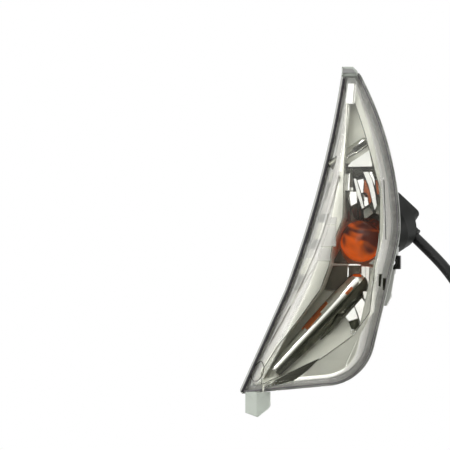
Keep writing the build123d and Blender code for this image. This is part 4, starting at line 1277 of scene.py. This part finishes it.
# Mottled silver painted dark: painted shade on the panel's facets and along the wing's fold
PAINTED_MOTTLED_SHADE = surface("mottled_silver_painted_shade", (0.20, 0.18, 0.145), 0.4, metallic=0.35, vary=0.3, grain=0.6)
SATIN = surface("satin_silver", (0.80, 0.80, 0.71), 0.38, metallic=0.25)
# A darker copy of the satin: painted shade on the wing's cells that lean away from the light
SATIN_WITH_PAINTED_SHADE = surface("satin_with_painted_shade", (0.50, 0.50, 0.47), 0.4, metallic=0.45)
# A darker, duller copy of the satin: painted shade on the skin's side walls and the bezel's cells
SIDE_SATIN_PAINTED_SHADE = surface("side_satin_painted_shade", (0.64, 0.63, 0.59), 0.5, metallic=0.15)
HOUSING = surface("housing_plastic", (0.50, 0.51, 0.49), 0.5, grain=0.25)
# Dark line along the lens's foot: painted shade of the lens's edge
LINE = surface("painted_edge_shade_line", (0.16, 0.14, 0.17), 0.5, grain=0.1)
BEAD = surface("sealant", (0.84, 0.84, 0.81), 0.5, grain=0.1)
STRIP = surface("foam_strip", (0.022, 0.020, 0.024), 0.85, grain=0.5, grain_scale=1500.0)
# Black spring steel for the clip nut; its near black also paints the shade of the pocket it sits in
CLIP_BLACK_AND_PAINTED_SHADE = surface("black_spring_steel", (0.03, 0.03, 0.03), 0.35, metallic=0.6, grain=0.05)
BRASS = surface("bulb_brass", (0.76, 0.64, 0.40), 0.25, metallic=1.0)
STEEL = surface("plated_steel", (0.66, 0.66, 0.64), 0.28, metallic=1.0)
HOLDER = surface("holder_plastic", (0.10, 0.10, 0.10), 0.5, grain=0.15)
RUBBER = surface("black_rubber", (0.008, 0.009, 0.008), 0.5, grain=0.2, grain_scale=700.0, gloss=0.25)
SLEEVE = surface("sleeve", (0.007, 0.007, 0.008), 0.35, grain=0.15, grain_scale=500.0, gloss=0.35)
CONNECTOR = surface("connector_plastic", (0.03, 0.03, 0.03), 0.5, grain=0.2, gloss=0.35)
# Amber bulb glass with painted light on its lower left, painted shade on its upper right and a painted
# glow
AMBER = amber_glass("amber_glass", (1.0, 0.155, 0.002), (0.09, 0.012, 0.005), body=0.92, glow=0.22)

# The finish of each solid that is shown as it is
FINISHES = {
    "housing": HOUSING,
    "sealant_bead": BEAD,
    "clip_nut": CLIP_BLACK_AND_PAINTED_SHADE,
    "bulb_glass": AMBER,
    "bulb_cap": BRASS,
    "bulb_contact": STEEL,
    "bulb_filament": STEEL,
    "bulb_holder": HOLDER,
    "bayonet_shell": STEEL,
    "contact_plunger": BRASS,
    "contact_spring": STEEL,
    "holder_seal": RUBBER,
    "boot": RUBBER,
    "connector_housing": CONNECTOR,
    "connector_rear_cap": CONNECTOR,
    "connector_retainer": HOLDER,
    "terminals": STEEL,
    "vent_cap": RUBBER,
    "reflector_screws": STEEL,
}

for node, finish in FINISHES.items():
    slots = nodes[node].data.materials
    slots.clear()
    slots.append(finish)

lens = finished(make_lens(), CLEAR, CLEAR_WALL)
top_tab = finished(make_top_tab(), FROSTED)
foot_tongue = finished(make_tongue(), FROSTED)
strip = finished(make_strip(), STRIP)
skin = finished(make_skin(), SATIN, SIDE_SATIN_PAINTED_SHADE)
opening_floor = finished(make_floor_of_opening(), SATIN)
hole = bulb_cutter()
cut(skin, hole)
cut(opening_floor, hole)
bpy.data.objects.remove(hole)
tab_lip = make_cells("tab_lip", [(TAB_LIP, 0)], on_tab, TAB_LIP_PROUD, CLEAR_PAINTED_SHADE)
rim_line = finished(make_rim_line(), LINE)
silvered = [
    opening_floor,
    make_rod("lower_tube", *LOWER_TUBE, LOWER_PAINTED_REFLECTIONS),
    make_rod("upper_tube", *UPPER_TUBE, UPPER_PAINTED_REFLECTIONS),
    make_facets("top_facets", TOP_FACETS),
    make_facets("bowl_facets", BOWL_FACETS, BOWL_BACK_Y),
    make_facets("panel_facets", PANEL_FACETS),
    make_facets("fan_facets", FAN_FACETS),
    make_cells("bezel_cells", BEZEL_CELLS, on_bezel, CELL_PROUD, SIDE_SATIN_PAINTED_SHADE, PAINTED_DARK_REFLECTION),
    make_cells("wing_cells", WING_CELLS, on_wing, CELL_PROUD, SATIN, SATIN_WITH_PAINTED_SHADE),
    make_cells("foot_leaf", [(LEAF, 0)], on_bezel, LEAF_PROUD, PAINTED_DARK_REFLECTION),
    make_cells("wing_fold", fold_cells(), on_wing, FOLD_PROUD, PAINTED_MOTTLED_SHADE),
    finished(make_stake_ring(), SILVER),
    finished(make_oval_ring(), PAINTED_DARK_REFLECTION),
    finished(make_opening_edge(), PAINTED_DARK_REFLECTION),
]

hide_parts("lens")
for piece in (lens, top_tab, foot_tongue, tab_lip):
    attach(piece, "root")
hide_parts("seal_strip")
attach(strip, "root")
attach(rim_line, "root")
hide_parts("reflector")
for piece in (skin, *silvered):
    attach(piece, "root")


# The lead's route in millimetres, the same points as the solids', and its diameter
SPOUT_PLACE = 35.5
SPOUT_REACH = 11.0
SPOUT_STRAIGHT = 17.0
LEAD_START = BALL + AXIS * SPOUT_PLACE + LEAD * SPOUT_REACH
ROUTE = [
    LEAD_START,
    LEAD_START + LEAD * SPOUT_STRAIGHT,
    (62.2, -8.8, -17.6),
    (72.4, -10.5, -33.0),
    (77.6, -12.0, -52.0),
    (79.6, -12.6, -72.5),
    (79.4, -12.0, -93.5),
    (78.6, -11.0, -113.5),
]
SLEEVE_DIAMETER = 6.6
# The spline's order, its steps between control points, and how finely its side is rounded
LEAD_ORDER = 3
LEAD_STEPS = 16
LEAD_ROUNDING = 8


def make_lead():
    """The sleeved lead as one smooth spline through the route's control points."""
    curve = bpy.data.curves.new("lead", "CURVE")
    curve.dimensions = "3D"
    spline = curve.splines.new("NURBS")
    spline.points.add(len(ROUTE) - 1)
    for point, place in zip(spline.points, ROUTE):
        point.co = (*(np.asarray(place) * MM), 1.0)
    spline.order_u = LEAD_ORDER
    spline.use_endpoint_u = True
    spline.resolution_u = LEAD_STEPS
    curve.bevel_depth = SLEEVE_DIAMETER / 2 * MM
    curve.bevel_resolution = LEAD_ROUNDING
    curve.use_fill_caps = True
    curve.materials.append(SLEEVE)
    return linked("lead", curve)


lead = make_lead()
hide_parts("lead_sleeve")
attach(lead, "root")

# The studio in front of the lamp, from straight down to straight up: a dark floor side, a soft
# grey middle and a bright top, leaning so that it is brighter at the left
STUDIO_STOPS = [
    (0.00, (0.05, 0.055, 0.04)),
    (0.34, (0.06, 0.065, 0.045)),
    (0.44, (0.09, 0.09, 0.07)),
    (0.54, (0.22, 0.215, 0.18)),
    (0.64, (0.90, 0.89, 0.84)),
    (0.80, (1.5, 1.5, 1.45)),
    (1.00, (1.5, 1.5, 1.5)),
]
STUDIO_LEAN = 0.8
STUDIO_EDGE = 0.1
# The floor: half its side, its height and its look
GROUND_HALF = 600.0
GROUND_Z = -320.0
GROUND_COLOUR = (0.16, 0.16, 0.14, 1)
GROUND_ROUGHNESS = 0.9
# The lamps: their names, places and targets in metres, sides and powers
LAMPS = [
    ("key", (-0.7, -1.0, 0.9), (0, 0, 0), 0.6, 15.0),
    ("under", (0.02, 0.03, -0.31), (0, -0.03, 0), 0.2, 1.5),
    ("side", (0.9, -0.25, -0.1), (0, -0.03, 0), 0.4, 4.0),
]


def make_world():
    """A plain white studio: white behind the lamp, a soft bright and dark room in front of it."""
    world = bpy.data.worlds.new("studio")
    bpy.context.scene.world = world
    world.use_nodes = True
    tree = world.node_tree
    tree.nodes.clear()
    place = add_node(tree, "TexCoord").outputs["Generated"]
    way = add_node(tree, "SeparateXYZ", {"Vector": place}).outputs
    lean = number(tree, "MULTIPLY", way["X"], STUDIO_LEAN)
    rise = mapped(tree, number(tree, "SUBTRACT", way["Z"], lean), -1.0, 1.0)
    room = colour_line(tree, rise, STUDIO_STOPS)
    behind = mapped(tree, way["Y"], -STUDIO_EDGE, STUDIO_EDGE, kind="SMOOTHSTEP")
    camera_ray = add_node(tree, "LightPath").outputs["Is Camera Ray"]
    white_share = number(tree, "MAXIMUM", behind, camera_ray)
    inputs = {"Factor": white_share, "A": room, "B": (1, 1, 1, 1)}
    mix = add_node(tree, "Mix", inputs, data_type="RGBA")
    light = add_node(tree, "Background", {"Color": mix.outputs["Result"]})
    add_node(tree, "OutputWorld", {"Surface": light.outputs["Background"]})


def make_ground():
    """The plain pale floor, white to the camera and shaded to every other ray."""
    corners = [(-1, -1), (1, -1), (1, 1), (-1, 1)]
    points = [(x * GROUND_HALF, y * GROUND_HALF, GROUND_Z) for x, y in corners]
    floor = mesh_piece("floor", points, [(0, 1, 2, 3)])
    material, tree, shader = node_tree("floor_white")
    fill(tree, shader, {"Base Color": GROUND_COLOUR, "Roughness": GROUND_ROUGHNESS})
    camera_ray = add_node(tree, "LightPath").outputs["Is Camera Ray"]
    white = add_node(tree, "Emission").outputs["Emission"]
    mix = add_node(tree, "MixShader", {"Fac": camera_ray, 1: shader.outputs["BSDF"], 2: white})
    fill(tree, tree.nodes["Material Output"], {"Surface": mix.outputs["Shader"]})
    finished(floor, material)


def area_light(name, place, target, side, power):
    """A soft square lamp that faces a target."""
    data = bpy.data.lights.new(name, "AREA")
    data.energy = power
    data.size = side
    lamp = linked(name, data)
    lamp.location = place
    lamp.rotation_euler = facing(place, target)


make_world()
make_ground()
for lamp in LAMPS:
    area_light(*lamp)

bpy.context.scene.view_settings.view_transform = "Standard"
